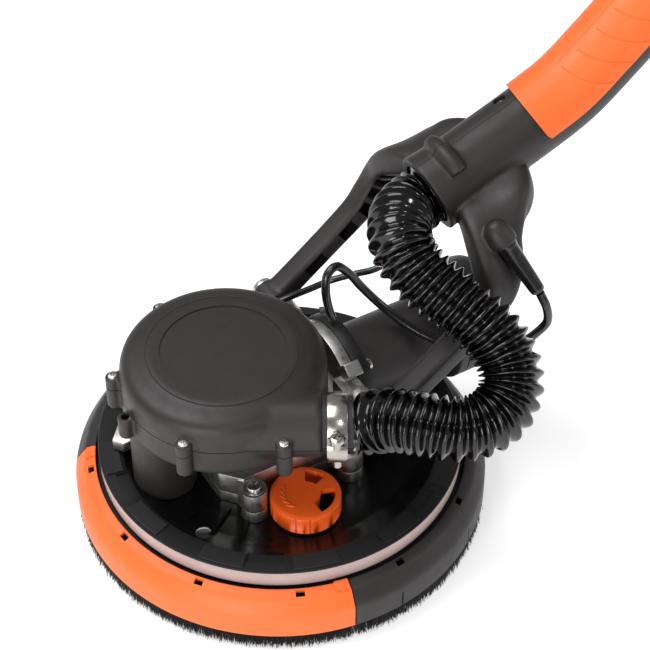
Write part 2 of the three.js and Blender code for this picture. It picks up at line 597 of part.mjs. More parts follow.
function makeHandle() {
  const outer = lofted(handleRings(0, 1, 13, (u) => {
    const flare = Math.max(0, 0.1 - u) * 12;
    return [NECK_RADIUS - 1.5 + flare, NECK_RADIUS - 1 + flare];
  }, 16));
  const duct = lofted(handleRings(0, 1, 10, () => [DUCT_BORE, DUCT_BORE], 12));
  const mouth = moved(round(19, -6, 12, 24), [NECK[0], 0, NECK[1]], [0, 70 * DEG, 0]);
  const end = handleCurve.getPointAt(1);
  const outletSeat = moved(round(17.6, -14, 6, 24), end.toArray(), [0, Math.PI / 2 - gripAngle, 0]);
  const ductEnds = [-1, 1].map((side) => moved(
    round(DUCT_BORE, side < 0 ? -8 : -2, side < 0 ? 2 : 8, 16),
    handleCurve.getPointAt(side < 0 ? 0 : 1).toArray(),
    [0, side < 0 ? 70 * DEG : Math.PI / 2 - gripAngle, 0],
  ));
  // A belly under the grip houses the switch.
  const belly = onGrip(lofted([[12, 10, -14], [24, 14, -32], [40, 15, -34], [92, 15, -34], [104, 13, -30], [110, 9, -14]].map(
    ([s, half, low]) => section(new THREE.Vector3(s, 0, (low - 6) / 2), SIDE, new THREE.Vector3(0, 0, 1), half, (-6 - low) / 2, 12, 4),
  )));
  const bellyRoom = onGrip(block(28, 103, -11.5, 11.5, -30.5, -17));
  const triggerSlot = onGrip(block(42, 80, -8.6, 8.6, -50, -28));
  const buttonHole = onGrip(alongY(round(5.3, -20, -10, 16), [36, 0, -24]));
  const dialHole = onGrip(alongY(round(3.4, -20, -8, 12), [92, 0, -23.5]));

  // A hood on the near shoulder carries the gland that the motor's lead comes out of.
  const hood = moved(turned([[0, -10], [5, -9], [7.8, -5], [8.4, 0], [8, 3], [0, 3]], 14), GLAND.toArray(), GLAND_TURN);

  let body = join(outer, belly, hood);
  for (const side of [-1, 1]) body = join(body, forkArm(side));
  const gland = moved(round(6.6, -12.4, 30, 16), GLAND.toArray(), GLAND_TURN);
  body = cut(body, duct, mouth, outletSeat, ...ductEnds, bellyRoom, triggerSlot, buttonHole, dialHole, gland);
  const half = (side) => block(-200, 500, side > 0 ? 0.15 : -200, side > 0 ? 200 : -0.15, -50, 500);
  piece('handle_left', body.intersect(half(1)), 'charcoal');
  piece('handle_right', body.intersect(half(-1)), 'charcoal');
}

// One arm of the fork: from the pivot up to the knee, then up the shoulder and in to the neck.
// Each station has its centre, half its width, half its depth, and the depth's angle above the X axis.
const ARM_STATIONS = [
  { at: [30, 60.25, 95], half: [7.75, 8.5], angle: 127 },
  { at: [42, 60.25, 104], half: [7.75, 6.6], angle: 127 },
  { at: [84, 60.25, 135.6], half: [7.75, 7.2], angle: 128 },
  { at: [98, 60.25, 148.5], half: [7.75, 10], angle: 137 },
  { at: [107.5, 58.25, 161.5], half: [8.05, 13], angle: 152 },
  { at: [111.5, 52, 173.5], half: [8.6, 15], angle: 168 },
  { at: [116, 43, 182.5], half: [9.4, 17.3], angle: 184 },
  { at: [123.5, 32, 188.5], half: [10.2, 22.5], angle: 196 },
  { at: [131, 20, 191.5], half: [10.8, 27.5], angle: 200 },
  { at: [134, 3, 193], half: [11.5, 29.5], angle: 200 },
];

function forkArm(side) {
  const points = ARM_STATIONS.map(({ at: [x, y, z] }) => new THREE.Vector3(x, side * y, z));
  const rings = ARM_STATIONS.map(({ half, angle }, i) => {
    const before = points[Math.max(i - 1, 0)];
    const after = points[Math.min(i + 1, points.length - 1)];
    const tangent = after.clone().sub(before).normalize();
    const depth = new THREE.Vector3(Math.cos(angle * DEG), 0, Math.sin(angle * DEG));
    depth.addScaledVector(tangent, -depth.dot(tangent)).normalize();
    const across = tangent.clone().cross(depth).normalize();
    return section(points[i], across, depth, half[0], half[1], 12, 4);
  });
  const eye = alongY(round(9.2, TINE_INNER, TINE_OUTER, 20), [PIVOT[0], 0, PIVOT[1]]);
  const hole = alongY(round(4.35, TINE_INNER - 2, TINE_OUTER + 2, 16), [PIVOT[0], 0, PIVOT[1]]);
  const placed = (solid) => (side > 0 ? solid : solid.mirror([0, 1, 0]));
  return cut(join(lofted(rings), placed(eye)), placed(hole));
}

function makeGrip() {
  const size = (grow) => () => [NECK_RADIUS - 1.5 + grow, NECK_RADIUS - 1 + grow];
  const skin = lofted(handleRings(GRIP_START, GRIP_END, 9, size(2.4), 16));
  const inside = lofted(handleRings(GRIP_START - 0.03, GRIP_END + 0.03, 11, size(GAP + 0.3), 16));
  // The lower half of the grip stays bare.
  const open = lofted(handleRings(GRIP_START - 0.04, GRIP_END + 0.04, 9, () => [40, 20], 8, 20, 20));
  piece('grip_cover', cut(skin, inside, open), 'orange');
}

function makeControls() {
  const shape = new THREE.Shape();
  shape.moveTo(0, 3);
  shape.lineTo(36, 3);
  shape.lineTo(37, -4);
  shape.quadraticCurveTo(24, -13, 8, -9);
  shape.quadraticCurveTo(2, -7, 0, -3);
  shape.closePath();
  const trigger = raised(shape, -8, 8, 6).rotate([90, 0, 0]);
  piece('trigger', onGrip(trigger.translate([43, 0, -32])), 'black');
  const button = alongY(join(round(5, -19.5, -11, 16), round(6.2, -11.2, -8, 16)), [36, 0, -24]);
  piece('lock_button', onGrip(button), 'black');
  const dial = alongY(join(round(9, -21.8, -16.6, 20), round(3, -17, -10, 12)), [92, 0, -23.5]);
  piece('speed_dial', onGrip(dial), 'black');
  piece('switch_block', onGrip(block(46, 80, -9, 9, -27.6, -17.4)), 'black');
  piece('speed_module', onGrip(block(84, 102, -9, 9, -29, -17.4)), 'black');
}

function makeOutlet() {
  const end = handleCurve.getPointAt(1);
  const collar = turned([[14.5, -13], [17.3, -13], [17.3, 0.3], [22, 0.3], [22, 5], [19, 8], [19, 26], [17.5, 26], [16, 4],
    [14.5, 2]], 20);
  piece('dust_outlet', moved(collar, end.toArray(), [0, Math.PI / 2 - gripAngle, 0]), 'black');
}

// ---------------------------------------------------------------- cable gland, leads and hose

const GLAND = new THREE.Vector3(113, -53.5, 191);
const GLAND_DIRECTION = new THREE.Vector3(0.33, -0.55, -0.77).normalize();
const GLAND_TURN = new THREE.Euler().setFromQuaternion(
  new THREE.Quaternion().setFromUnitVectors(new THREE.Vector3(0, 0, 1), GLAND_DIRECTION),
).toArray().slice(0, 3);

const HOSE_ROUTE = [
  [10.3, -69, 113], [15, -71.9, 113.3], [21.3, -79.2, 119.6], [29.5, -90.5, 124], [38, -101, 126], [49.5, -111, 126],
  [62, -115.5, 127.5], [75, -114.5, 131], [84.5, -108.5, 138], [88.5, -99.5, 147], [87, -89, 156.5], [81.5, -77.5, 165],
  [74.5, -64.5, 171.5], [67.5, -51, 178], [63, -38, 185], [64, -26, 190.5], [71, -14, 192], [80, -5, 190], [91, -0.6, 189.6],
  [104.5, 0, 194],
];
const MOTOR_LEAD_ROUTE = [
  [125.7, -74.6, 161.6], [128.4, -78.2, 152.5], [131, -77, 139], [128.5, -73, 129], [123, -68, 120], [115, -57, 110.5], [106, -46, 103.5],
  [97, -35, 101.5], [88, -24, 103.5], [79, -11, 108.5], [70, 1, 118], [61, 8, 131], [53, 12, 144], [46, 13, 150.5],
  [40, 12, 148], [37.5, 10, 139], [38, 8, 127], [39.5, 6, 118.4],
];
const LAMP_LEAD_ROUTE = [
  [111, 16, 170], [106, 15, 160], [98, 14, 148], [88, 15, 137], [76, 18, 130.5], [64, 23, 128], [52, 29, 124],
  [42, 35, 117.5], [32, 41, 111], [20, 46, 104.5], [12, 52, 93], [8, 58.5, 80], [7, 66, 68], [8, 76, 60],
  [9.5, 84, 55.5], [11, 91, 50.8],
];

function makeCords() {
  piece('suction_hose', cordTube(HOSE_ROUTE, 17, 10, 28), 'rubber');
  piece('motor_lead', cordTube(MOTOR_LEAD_ROUTE, 2.6, 8, 28), 'rubber');
  piece('lamp_lead', cordTube(LAMP_LEAD_ROUTE, 2, 8, 26), 'rubber');
  const sleeve = turned([[0, -12], [6.2, -12], [6.2, 5], [5.4, 6], [3.8, 37], [0, 37]], 14);
  piece('cable_gland', moved(sleeve, GLAND.toArray(), GLAND_TURN), 'rubber');
}

// ---------------------------------------------------------------- the whole tool

makeSpindleLine();
makeGears();
makeShroud();
makeSuctionKnob();
makeSkirt();
makeSkirtSprings();
makeGearCase();
makeBearings();
makeFanHousing();
makeImpeller();
makeClamp();
makeMotor();
makePivotBolts();
makeHandle();
makeGrip();
makeControls();
makeOutlet();
makeCords();

export default model;
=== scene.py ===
"""Detailed visual model of a long-reach disc sander head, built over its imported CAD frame.

Lengths in the building functions are millimetres in the frame's axes: the origin is the centre of the
abrasive face, +Z up, +X along the motor towards the handle. They become metres when a mesh is made.
"""

import json
import math
import random

import bmesh
import bpy
from mathutils import Matrix, Vector


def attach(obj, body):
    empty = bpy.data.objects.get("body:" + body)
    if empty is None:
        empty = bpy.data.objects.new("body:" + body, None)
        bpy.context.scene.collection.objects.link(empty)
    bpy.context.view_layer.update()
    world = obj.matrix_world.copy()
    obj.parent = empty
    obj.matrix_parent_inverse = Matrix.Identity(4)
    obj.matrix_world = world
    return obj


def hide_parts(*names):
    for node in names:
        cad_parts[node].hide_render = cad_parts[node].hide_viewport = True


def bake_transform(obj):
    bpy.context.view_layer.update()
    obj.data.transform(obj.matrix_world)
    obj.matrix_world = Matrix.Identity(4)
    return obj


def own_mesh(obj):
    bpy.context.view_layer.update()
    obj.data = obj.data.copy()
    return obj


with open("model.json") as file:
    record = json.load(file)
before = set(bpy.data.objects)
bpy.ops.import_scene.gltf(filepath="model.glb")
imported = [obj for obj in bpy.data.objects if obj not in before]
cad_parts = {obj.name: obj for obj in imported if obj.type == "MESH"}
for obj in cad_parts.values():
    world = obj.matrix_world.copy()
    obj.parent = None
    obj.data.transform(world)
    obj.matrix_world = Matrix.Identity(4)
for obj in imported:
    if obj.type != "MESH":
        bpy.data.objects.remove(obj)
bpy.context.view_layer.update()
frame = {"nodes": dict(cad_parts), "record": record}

MM = 0.001
X, Y, Z = Vector((1, 0, 0)), Vector((0, 1, 0)), Vector((0, 0, 1))

# ---------------------------------------------------------------- main dimensions, in millimetres

FRONT_START, FRONT_END = 150, 260      # headings of the removable front of the skirt, degrees
FRONT_SWEEP = FRONT_END - FRONT_START
REAR_SWEEP = 360 - FRONT_SWEEP
SHROUD_RADIUS = 105.5
FAN_CENTRE = Vector((-34, 3, 0))
FAN_RADIUS = 59
FAN_SPLIT = 111
SPOUT_HEADING = -31
SPOUT_FOOT = Vector((-54.03, -30.34, 113))
PIPE = Vector((-73, 8, 0))             # the dust pipe between the fan housing and the shroud
PIPE_BORE = 15.5
KNOB = Vector((-15, -55, 0))
MOTOR_Z = 78
CAP_RADIUS, CAP_RISE = 33.8, 7.2
PIVOT = Vector((30, 0, 95))
HOSE_DIAMETER = 36.5
DUCT_RADIUS = 14.5
# The fan housing's screw bosses: heading and distance beyond its rim.
RIM_BOSSES = [(155, 3.5), (97, 4), (62, 3), (220, 2.5), (270, 9)]

# ---------------------------------------------------------------- camera

TARGET = Vector((58.2, 45.2, 71.2)) * MM
EYE_DISTANCE = 1.224
EYE = TARGET + EYE_DISTANCE * Vector((-0.3705, -0.6166, 0.6947))


def make_camera():
    camera = bpy.data.objects.new("camera", bpy.data.cameras.new("camera"))
    bpy.context.scene.collection.objects.link(camera)
    camera.location = EYE
    camera.rotation_euler = (TARGET - EYE).to_track_quat("-Z", "Y").to_euler()
    camera.data.lens = 110.77
    camera.data.sensor_width = 36
    camera.data.clip_start = 0.05
    bpy.context.scene.camera = camera


make_camera()

# ---------------------------------------------------------------- materials


def principled(name, color, roughness, metallic=0.0, **more):
    """A material with a Principled shader, whose even values are set on its own sockets."""
    material = bpy.data.materials.new(name)
    material.use_nodes = True
    shader = material.node_tree.nodes["Principled BSDF"]
    shader.inputs["Base Color"].default_value = (*color, 1)
    shader.inputs["Roughness"].default_value = roughness
    shader.inputs["Metallic"].default_value = metallic
    for socket, value in more.items():
        shader.inputs[socket.replace("_", " ")].default_value = value
    return material


def noise_node(material, scale, detail=3.0, stretch=(1, 1, 1)):
    """A noise texture in object coordinates, in cycles per metre."""
    nodes, links = material.node_tree.nodes, material.node_tree.links
    coordinates = nodes.new("ShaderNodeTexCoord")
    mapping = nodes.new("ShaderNodeMapping")
    mapping.inputs["Scale"].default_value = stretch
    texture = nodes.new("ShaderNodeTexNoise")
    texture.inputs["Scale"].default_value = scale
    texture.inputs["Detail"].default_value = detail
    texture.inputs["Roughness"].default_value = 0.55
    links.new(coordinates.outputs["Object"], mapping.inputs["Vector"])
    links.new(mapping.outputs["Vector"], texture.inputs["Vector"])
    return texture


def vary_color(material, low, high, scale, contrast=(0.2, 0.8)):
    """Mottles the base colour between two close colours."""
    nodes, links = material.node_tree.nodes, material.node_tree.links
    texture = noise_node(material, scale)
    ramp = nodes.new("ShaderNodeValToRGB")
    ramp.color_ramp.elements[0].position, ramp.color_ramp.elements[1].position = contrast
    ramp.color_ramp.elements[0].color = (*low, 1)
    ramp.color_ramp.elements[1].color = (*high, 1)
    links.new(texture.outputs["Fac"], ramp.inputs["Fac"])
    links.new(ramp.outputs["Color"], nodes["Principled BSDF"].inputs["Base Color"])


def vary_roughness(material, low, high, scale, stretch=(1, 1, 1)):
    nodes, links = material.node_tree.nodes, material.node_tree.links
    texture = noise_node(material, scale, stretch=stretch)
    spread = nodes.new("ShaderNodeMapRange")
    spread.inputs["From Min"].default_value = 0.3
    spread.inputs["From Max"].default_value = 0.7
    spread.inputs["To Min"].default_value = low
    spread.inputs["To Max"].default_value = high
    links.new(texture.outputs["Fac"], spread.inputs["Value"])
    links.new(spread.outputs["Result"], nodes["Principled BSDF"].inputs["Roughness"])


def add_bump(material, scale, strength, distance=0.0002, detail=2.0, stretch=(1, 1, 1)):
    nodes, links = material.node_tree.nodes, material.node_tree.links
    texture = noise_node(material, scale, detail, stretch)
    bump = nodes.new("ShaderNodeBump")
    bump.inputs["Strength"].default_value = strength
    bump.inputs["Distance"].default_value = distance
    links.new(texture.outputs[0], bump.inputs["Height"])
    shader = nodes["Principled BSDF"]
    if shader.inputs["Normal"].is_linked:
        links.new(shader.inputs["Normal"].links[0].from_socket, bump.inputs["Normal"])
    links.new(bump.outputs["Normal"], shader.inputs["Normal"])


def moulded(name, low, high, roughness, grain):
    """Injection-moulded plastic: a spark-eroded grain, faint mottling and uneven sheen."""
    material = principled(name, high, roughness)
    vary_color(material, low, high, 90)
    vary_roughness(material, roughness - 0.05, roughness + 0.06, 140)
    add_bump(material, 2600, grain, 0.00012)
    add_bump(material, 420, grain * 0.25, 0.0002)
    return material


def metal(name, color, roughness, grain_scale, grain, stretch=(1, 1, 1)):
    material = principled(name, color, roughness, 1.0)
    vary_color(material, tuple(c * 0.86 for c in color), color, 130)
    vary_roughness(material, roughness - 0.07, roughness + 0.08, 300, stretch)
    add_bump(material, grain_scale, grain, 0.0001, stretch=stretch)
    return material


def shroud_material():
    """Black plastic with a polished floor and a grained rim, told apart by the distance from the axis; the
    floor's darker base colour is painted shade for the recessed floor.
    """
    material = principled("gloss_black", (0.004, 0.004, 0.004), 0.25, Specular_IOR_Level=0.3)
    nodes, links = material.node_tree.nodes, material.node_tree.links
    shader = nodes["Principled BSDF"]
    coordinates = nodes.new("ShaderNodeTexCoord")
    flat = nodes.new("ShaderNodeVectorMath")
    flat.operation = "MULTIPLY"
    flat.inputs[1].default_value = (1, 1, 0)
    distance = nodes.new("ShaderNodeVectorMath")
    distance.operation = "LENGTH"
    links.new(coordinates.outputs["Object"], flat.inputs[0])
    links.new(flat.outputs["Vector"], distance.inputs[0])
    rim = nodes.new("ShaderNodeMapRange")
    rim.inputs["From Min"].default_value = 0.0935
    rim.inputs["From Max"].default_value = 0.0945
    rim.inputs["To Min"].default_value = 0.2
    rim.inputs["To Max"].default_value = 0.52
    links.new(distance.outputs["Value"], rim.inputs["Value"])
    links.new(rim.outputs["Result"], shader.inputs["Roughness"])
    # Painted shade: the floor's base colour is darker than the rim's to stand for the shade in the recess;
    # its lower roughness is the real gloss.
    floor_painted_shade = nodes.new("ShaderNodeValToRGB")
    floor_painted_shade.color_ramp.elements[0].position = 0.2
    floor_painted_shade.color_ramp.elements[0].color = (0.0030, 0.0030, 0.0030, 1)
    floor_painted_shade.color_ramp.elements[1].position = 0.5
    floor_painted_shade.color_ramp.elements[1].color = (0.0105, 0.0105, 0.011, 1)
    links.new(rim.outputs["Result"], floor_painted_shade.inputs["Fac"])
    links.new(floor_painted_shade.outputs["Color"], shader.inputs["Base Color"])
    add_bump(material, 2200, 0.1, 0.0001)
    return material


def make_materials():
    made = {
        "charcoal_plastic": moulded(
            "charcoal_plastic", (0.0138, 0.0108, 0.0101), (0.0162, 0.013, 0.0122), 0.5, 0.3),
        "orange_plastic": moulded("orange_plastic", (0.84, 0.135, 0.017), (0.90, 0.148, 0.02), 0.5, 0.2),
        "orange_gloss": moulded("orange_gloss", (0.84, 0.10, 0.006), (0.92, 0.115, 0.008), 0.42, 0.1),
        "black_plastic": moulded(
            "black_plastic", (0.0025, 0.0025, 0.0025), (0.004, 0.0038, 0.0038), 0.5, 0.2),
        "gloss_black": shroud_material(),
        "cast_aluminium": metal("cast_aluminium", (0.56, 0.55, 0.53), 0.4, 1500, 0.35),
        "steel": metal("steel", (0.62, 0.61, 0.59), 0.27, 2200, 0.15, (1, 1, 8)),
        "chrome_steel": metal("chrome_steel", (0.44, 0.42, 0.385), 0.24, 900, 0.08),
        "carbon": moulded("carbon", (0.02, 0.02, 0.02), (0.035, 0.035, 0.035), 0.7, 0.5),
        "bristle": moulded("bristle", (0.006, 0.006, 0.006), (0.014, 0.013, 0.013), 0.6, 0.1),
    }
    lamp = principled(
        "lamp_diffuser", (0.48, 0.36, 0.335), 0.32, Subsurface_Weight=0.35, Subsurface_Scale=0.004)
    lamp.node_tree.nodes["Principled BSDF"].inputs["Subsurface Radius"].default_value = (1.0, 0.6, 0.5)
    vary_color(lamp, (0.42, 0.31, 0.29), (0.5, 0.385, 0.36), 60)
    add_bump(lamp, 900, 0.08)
    made["lamp_diffuser"] = lamp
    hose = principled("hose_rubber", (0.0012, 0.0012, 0.0012), 0.12)
    vary_roughness(hose, 0.09, 0.16, 120)
    add_bump(hose, 500, 0.05)
    made["hose_rubber"] = hose
    lead = principled("lead_rubber", (0.007, 0.007, 0.007), 0.2, Coat_Weight=0.2, Coat_Roughness=0.1)
    vary_roughness(lead, 0.16, 0.3, 200)
    add_bump(lead, 700, 0.06)
    made["lead_rubber"] = lead
    foam = principled("foam", (0.02, 0.02, 0.022), 0.95, Sheen_Weight=0.2)
    vary_color(foam, (0.012, 0.012, 0.014), (0.03, 0.03, 0.032), 900)
    add_bump(foam, 1400, 0.9, 0.0006, detail=5)
    made["foam"] = foam
    abrasive = principled("abrasive", (0.3, 0.14, 0.08), 0.92)
    vary_color(abrasive, (0.16, 0.07, 0.04), (0.42, 0.21, 0.12), 1700, (0.42, 0.58))
    add_bump(abrasive, 2300, 1.0, 0.0005, detail=6)
    made["abrasive"] = abrasive
    made["windings"] = metal("windings", (0.42, 0.2, 0.1), 0.35, 900, 0.6, (9, 1, 1))
    return made


MATERIALS = make_materials()

# ---------------------------------------------------------------- mesh helpers


def add_object(name, mesh):
    obj = bpy.data.objects.new(name, mesh)
    bpy.context.scene.collection.objects.link(obj)
    return obj


def make_mesh(name, points, faces):
    """An object from points in millimetres, with its normals turned outwards."""
    mesh = bpy.data.meshes.new(name)
    mesh.from_pydata([Vector(p) * MM for p in points], [], faces)
    work = bmesh.new()
    work.from_mesh(mesh)
    bmesh.ops.remove_doubles(work, verts=work.verts, dist=1e-7)
    bmesh.ops.recalc_face_normals(work, faces=work.faces)
    work.to_mesh(mesh)
    work.free()
    return add_object(name, mesh)


def loft(name, rings, closed=False):
    """A skin over rings of equal point counts. The ends are capped unless the skin closes on itself."""
    count = len(rings[0])
    points = [p for ring in rings for p in ring]
    faces = []
    spans = len(rings) if closed else len(rings) - 1
    for k in range(spans):
        a, b = k * count, ((k + 1) % len(rings)) * count
        for i in range(count):
            j = (i + 1) % count
            faces.append((a + i, a + j, b + j, b + i))
    if not closed:
        faces.append(tuple(range(count))[::-1])
        faces.append(tuple(range((len(rings) - 1) * count, len(rings) * count)))
    return make_mesh(name, points, faces)


def lathe(name, profile, steps=160, start=0.0, sweep=360.0, centre=(0, 0, 0)):
    """A closed outline of (radius, z) turned about a vertical line, wholly or between two headings."""
    whole = sweep >= 360
    steps = max(3, round(steps * sweep / 360))
    rings = []
    for k in range(steps if whole else steps + 1):
        t = math.radians(start + sweep * k / steps)
        rings.append([
            Vector(centre) + Vector((r * math.cos(t), r * math.sin(t), z)) for r, z in profile
        ])
    return loft(name, rings, closed=whole)


def hoop(name, r0, r1, z0, z1, steps, start=0.0, sweep=360.0, centre=(0, 0, 0)):
    """A ring of rectangular section, or a part of one between two headings."""
    return lathe(name, [(r0, z0), (r1, z0), (r1, z1), (r0, z1)], steps, start, sweep, centre)


def prism(name, outline, z0, z1):
    """A flat outline of (x, y) points raised from z0 to z1."""
    return loft(name, [[Vector((x, y, z)) for x, y in outline] for z in (z0, z1)])


def box(name, low, high):
    (x0, y0, z0), (x1, y1, z1) = low, high
    return prism(name, [(x0, y0), (x1, y0), (x1, y1), (x0, y1)], z0, z1)


def circle(centre, side, up, radius, count):
    """One closed ring of a round tube."""
    turns = [2 * math.pi * k / count for k in range(count)]
    return [centre + (side * math.cos(t) + up * math.sin(t)) * radius for t in turns]


def oval(centre, side, up, half_side, half_up, count, power=2.0):
    """One closed ring: an ellipse, or a squarer oval with a higher power."""
    ring = []
    for i in range(count):
        t = 2 * math.pi * i / count
        c, s = math.cos(t), math.sin(t)
        a = math.copysign(abs(c) ** (2 / power), c) * half_side
        b = math.copysign(abs(s) ** (2 / power), s) * half_up
        ring.append(centre + side * a + up * b)
    return ring


def place(obj, origin=(0, 0, 0), axis=None, heading=0.0):
    """Moves an object's mesh: +Z is turned onto axis, after a turn by heading about +Z, then shifted."""
    turn = Matrix.Rotation(math.radians(heading), 4, "Z")
    if axis is not None:
        turn = Vector(axis).normalized().to_track_quat("Z", "Y").to_matrix().to_4x4() @ turn
    obj.data.transform(Matrix.Translation(Vector(origin) * MM) @ turn)
    return obj


def bar(name, radius, start, end, steps=48):
    """A round bar between two points."""
    start, end = Vector(start), Vector(end)
    turns = [2 * math.pi * i / steps for i in range(steps)]
    ring = [(radius * math.cos(t), radius * math.sin(t)) for t in turns]
    return place(prism(name, ring, 0, (end - start).length), start, end - start)


def apply_modifiers(obj):
    graph = bpy.context.evaluated_depsgraph_get()
    mesh = bpy.data.meshes.new_from_object(obj.evaluated_get(graph))
    obj.modifiers.clear()
    old = obj.data
    obj.data = mesh
    bpy.data.meshes.remove(old)


def boolean(obj, operation, *tools):
    """Joins tools to obj, or cuts them from it, and removes them."""
    for tool in tools:
        change = obj.modifiers.new("boolean", "BOOLEAN")
        change.object = tool
        change.operation = operation
        change.solver = "EXACT"
        apply_modifiers(obj)
        bpy.data.objects.remove(tool)


def merge(name, *parts):
    """Gathers separate meshes into one object without cutting them."""
    work = bmesh.new()
    for part in parts:
        work.from_mesh(part.data)
    mesh = bpy.data.meshes.new(name)
    work.to_mesh(mesh)
    work.free()
    for part in parts:
        bpy.data.objects.remove(part)
    return add_object(name, mesh)


def round_edges(obj, width, segments=2, angle=32):
    """Rounds the sharp edges so that they catch the light."""
    edge = obj.modifiers.new("edges", "BEVEL")
    edge.width = width * MM
    edge.segments = segments
    edge.limit_method = "ANGLE"
    edge.angle_limit = math.radians(angle)
    edge.harden_normals = False
    edge.use_clamp_overlap = True


def smooth(obj, angle=38):
    obj.data.shade_smooth()
    obj.data.set_sharp_from_angle(angle=math.radians(angle))


def soften(obj, voxel, passes):
    """Runs one even skin over joined shapes and eases its corners, as a mould's fillets do."""
    skin = obj.modifiers.new("skin", "REMESH")
    skin.mode = "VOXEL"
    skin.voxel_size = voxel * MM
    apply_modifiers(obj)
    ease = obj.modifiers.new("ease", "SMOOTH")
    ease.factor = 0.5
    ease.iterations = passes
    apply_modifiers(obj)


def dress(obj, material, *nodes, angle=38):
    """Gives a piece its material and smooth shading, and hides the CAD nodes it stands for."""
    obj.data.materials.clear()
    obj.data.materials.append(MATERIALS[material])
    smooth(obj, angle)
    if nodes:
        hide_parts(*nodes)


def finish(obj, material, body, *nodes, angle=38):
    """Dresses a piece that moves with one body."""
    dress(obj, material, *nodes, angle=angle)
    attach(obj, body)


def route_curve(points, step):
    """Points about step apart on a smooth centripetal curve through the given ones."""
    knots = [Vector(p) for p in points]
    knots = [2 * knots[0] - knots[1], *knots, 2 * knots[-1] - knots[-2]]
    dense = []
    for p0, p1, p2, p3 in zip(knots, knots[1:], knots[2:], knots[3:]):
        t0 = 0.0
        t1 = t0 + math.sqrt((p1 - p0).length)
        t2 = t1 + math.sqrt((p2 - p1).length)
        t3 = t2 + math.sqrt((p3 - p2).length)
        count = max(4, round((p2 - p1).length * 4))
        for i in range(count):
            t = t1 + (t2 - t1) * i / count
            a1 = (t1 - t) / (t1 - t0) * p0 + (t - t0) / (t1 - t0) * p1
            a2 = (t2 - t) / (t2 - t1) * p1 + (t - t1) / (t2 - t1) * p2
            a3 = (t3 - t) / (t3 - t2) * p2 + (t - t2) / (t3 - t2) * p3
            b1 = (t2 - t) / (t2 - t0) * a1 + (t - t0) / (t2 - t0) * a2
            b2 = (t3 - t) / (t3 - t1) * a2 + (t - t1) / (t3 - t1) * a3
            dense.append((t2 - t) / (t2 - t1) * b1 + (t - t1) / (t2 - t1) * b2)
    dense.append(Vector(points[-1]))
    lengths = [0.0]
    for a, b in zip(dense, dense[1:]):
        lengths.append(lengths[-1] + (b - a).length)
    count = max(2, round(lengths[-1] / step))
    even, k = [], 0
    for i in range(count + 1):
        goal = lengths[-1] * i / count
        while k < len(lengths) - 2 and lengths[k + 1] < goal:
            k += 1
        share = (goal - lengths[k]) / max(lengths[k + 1] - lengths[k], 1e-9)
        even.append(dense[k].lerp(dense[k + 1], share))
    return even, lengths[-1]


def tube(name, points, radius, sides=6):
    """A thin round rod along a row of points."""
    frames = tube_frames(points)
    return loft(name, [circle(p, side, up, radius, sides) for p, (_, side, up) in zip(points, frames)])


def tube_frames(points):
    """The forward direction and a steady side and up direction at each point of a path."""
    frames = []
    side = None
    for i in range(len(points)):
        ahead = points[min(i + 1, len(points) - 1)]
        behind = points[max(i - 1, 0)]
        forward = (ahead - behind).normalized()
        if side is None:
            side = forward.cross(Z).normalized()
        side = (side - forward * side.dot(forward)).normalized()
        frames.append((forward, side, forward.cross(side)))
    return frames


# ---------------------------------------------------------------- hose and leads

# The same routes as the CAD model's, in millimetres.
HOSE_ROUTE = [
    (10.3, -69, 113), (15, -71.9, 113.3), (21.3, -79.2, 119.6), (29.5, -90.5, 124), (38, -101, 126),
    (49.5, -111, 126), (62, -115.5, 127.5), (75, -114.5, 131), (84.5, -108.5, 138), (88.5, -99.5, 147),
    (87, -89, 156.5), (81.5, -77.5, 165), (74.5, -64.5, 171.5), (67.5, -51, 178), (63, -38, 185),
    (64, -26, 190.5), (71, -14, 192), (80, -5, 190), (91, -0.6, 189.6), (104.5, 0, 194),
]
MOTOR_LEAD_ROUTE = [
    (125.7, -74.6, 161.6), (128.4, -78.2, 152.5), (131, -77, 139), (128.5, -73, 129), (123, -68, 120),
    (115, -57, 110.5), (106, -46, 103.5), (97, -35, 101.5), (88, -24, 103.5), (79, -11, 108.5),
    (70, 1, 118), (61, 8, 131), (53, 12, 144), (46, 13, 150.5), (40, 12, 148), (37.5, 10, 139),
    (38, 8, 127), (39.5, 6, 118.4),
]
LAMP_LEAD_ROUTE = [
    (111, 16, 170), (106, 15, 160), (98, 14, 148), (88, 15, 137), (76, 18, 130.5), (64, 23, 128),
    (52, 29, 124), (42, 35, 117.5), (32, 41, 111), (20, 46, 104.5), (12, 52, 93), (8, 58.5, 80),
    (7, 66, 68), (8, 76, 60), (9.5, 84, 55.5), (11, 91, 50.8),
]


def make_hose():
    """A corrugated hose: rings of ribs with a narrow valley between them, open at both ends."""
    pitch = 6.0
    per_rib = 12
    path, length = route_curve(HOSE_ROUTE, pitch / per_rib)
    frames = tube_frames(path)
    crest, valley, wall = HOSE_DIAMETER / 2, HOSE_DIAMETER / 2 - 3.8, 1.0
    sides = 44
    rings = []
    for i, (p, (_, side, up)) in enumerate(zip(path, frames)):
        ring = []
        for k in range(sides):
            t = 2 * math.pi * k / sides
            phase = i / per_rib + k / sides
            wave = 0.5 + 0.5 * math.cos(2 * math.pi * phase)
            radius = valley + (crest - valley) * wave ** 1.05
            ring.append(p + (side * math.cos(t) + up * math.sin(t)) * radius)
        rings.append(ring)
    # A smooth bore runs back through the hose, so that both its ends are open.
    inside = [
        circle(p, side, up, valley - wall, sides) for p, (_, side, up) in list(zip(path, frames))[::-1][::6]
    ]
    hose = loft("corrugated_hose", rings + inside, closed=True)
    dress(hose, "hose_rubber", "suction_hose", angle=80)
    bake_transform(hose)


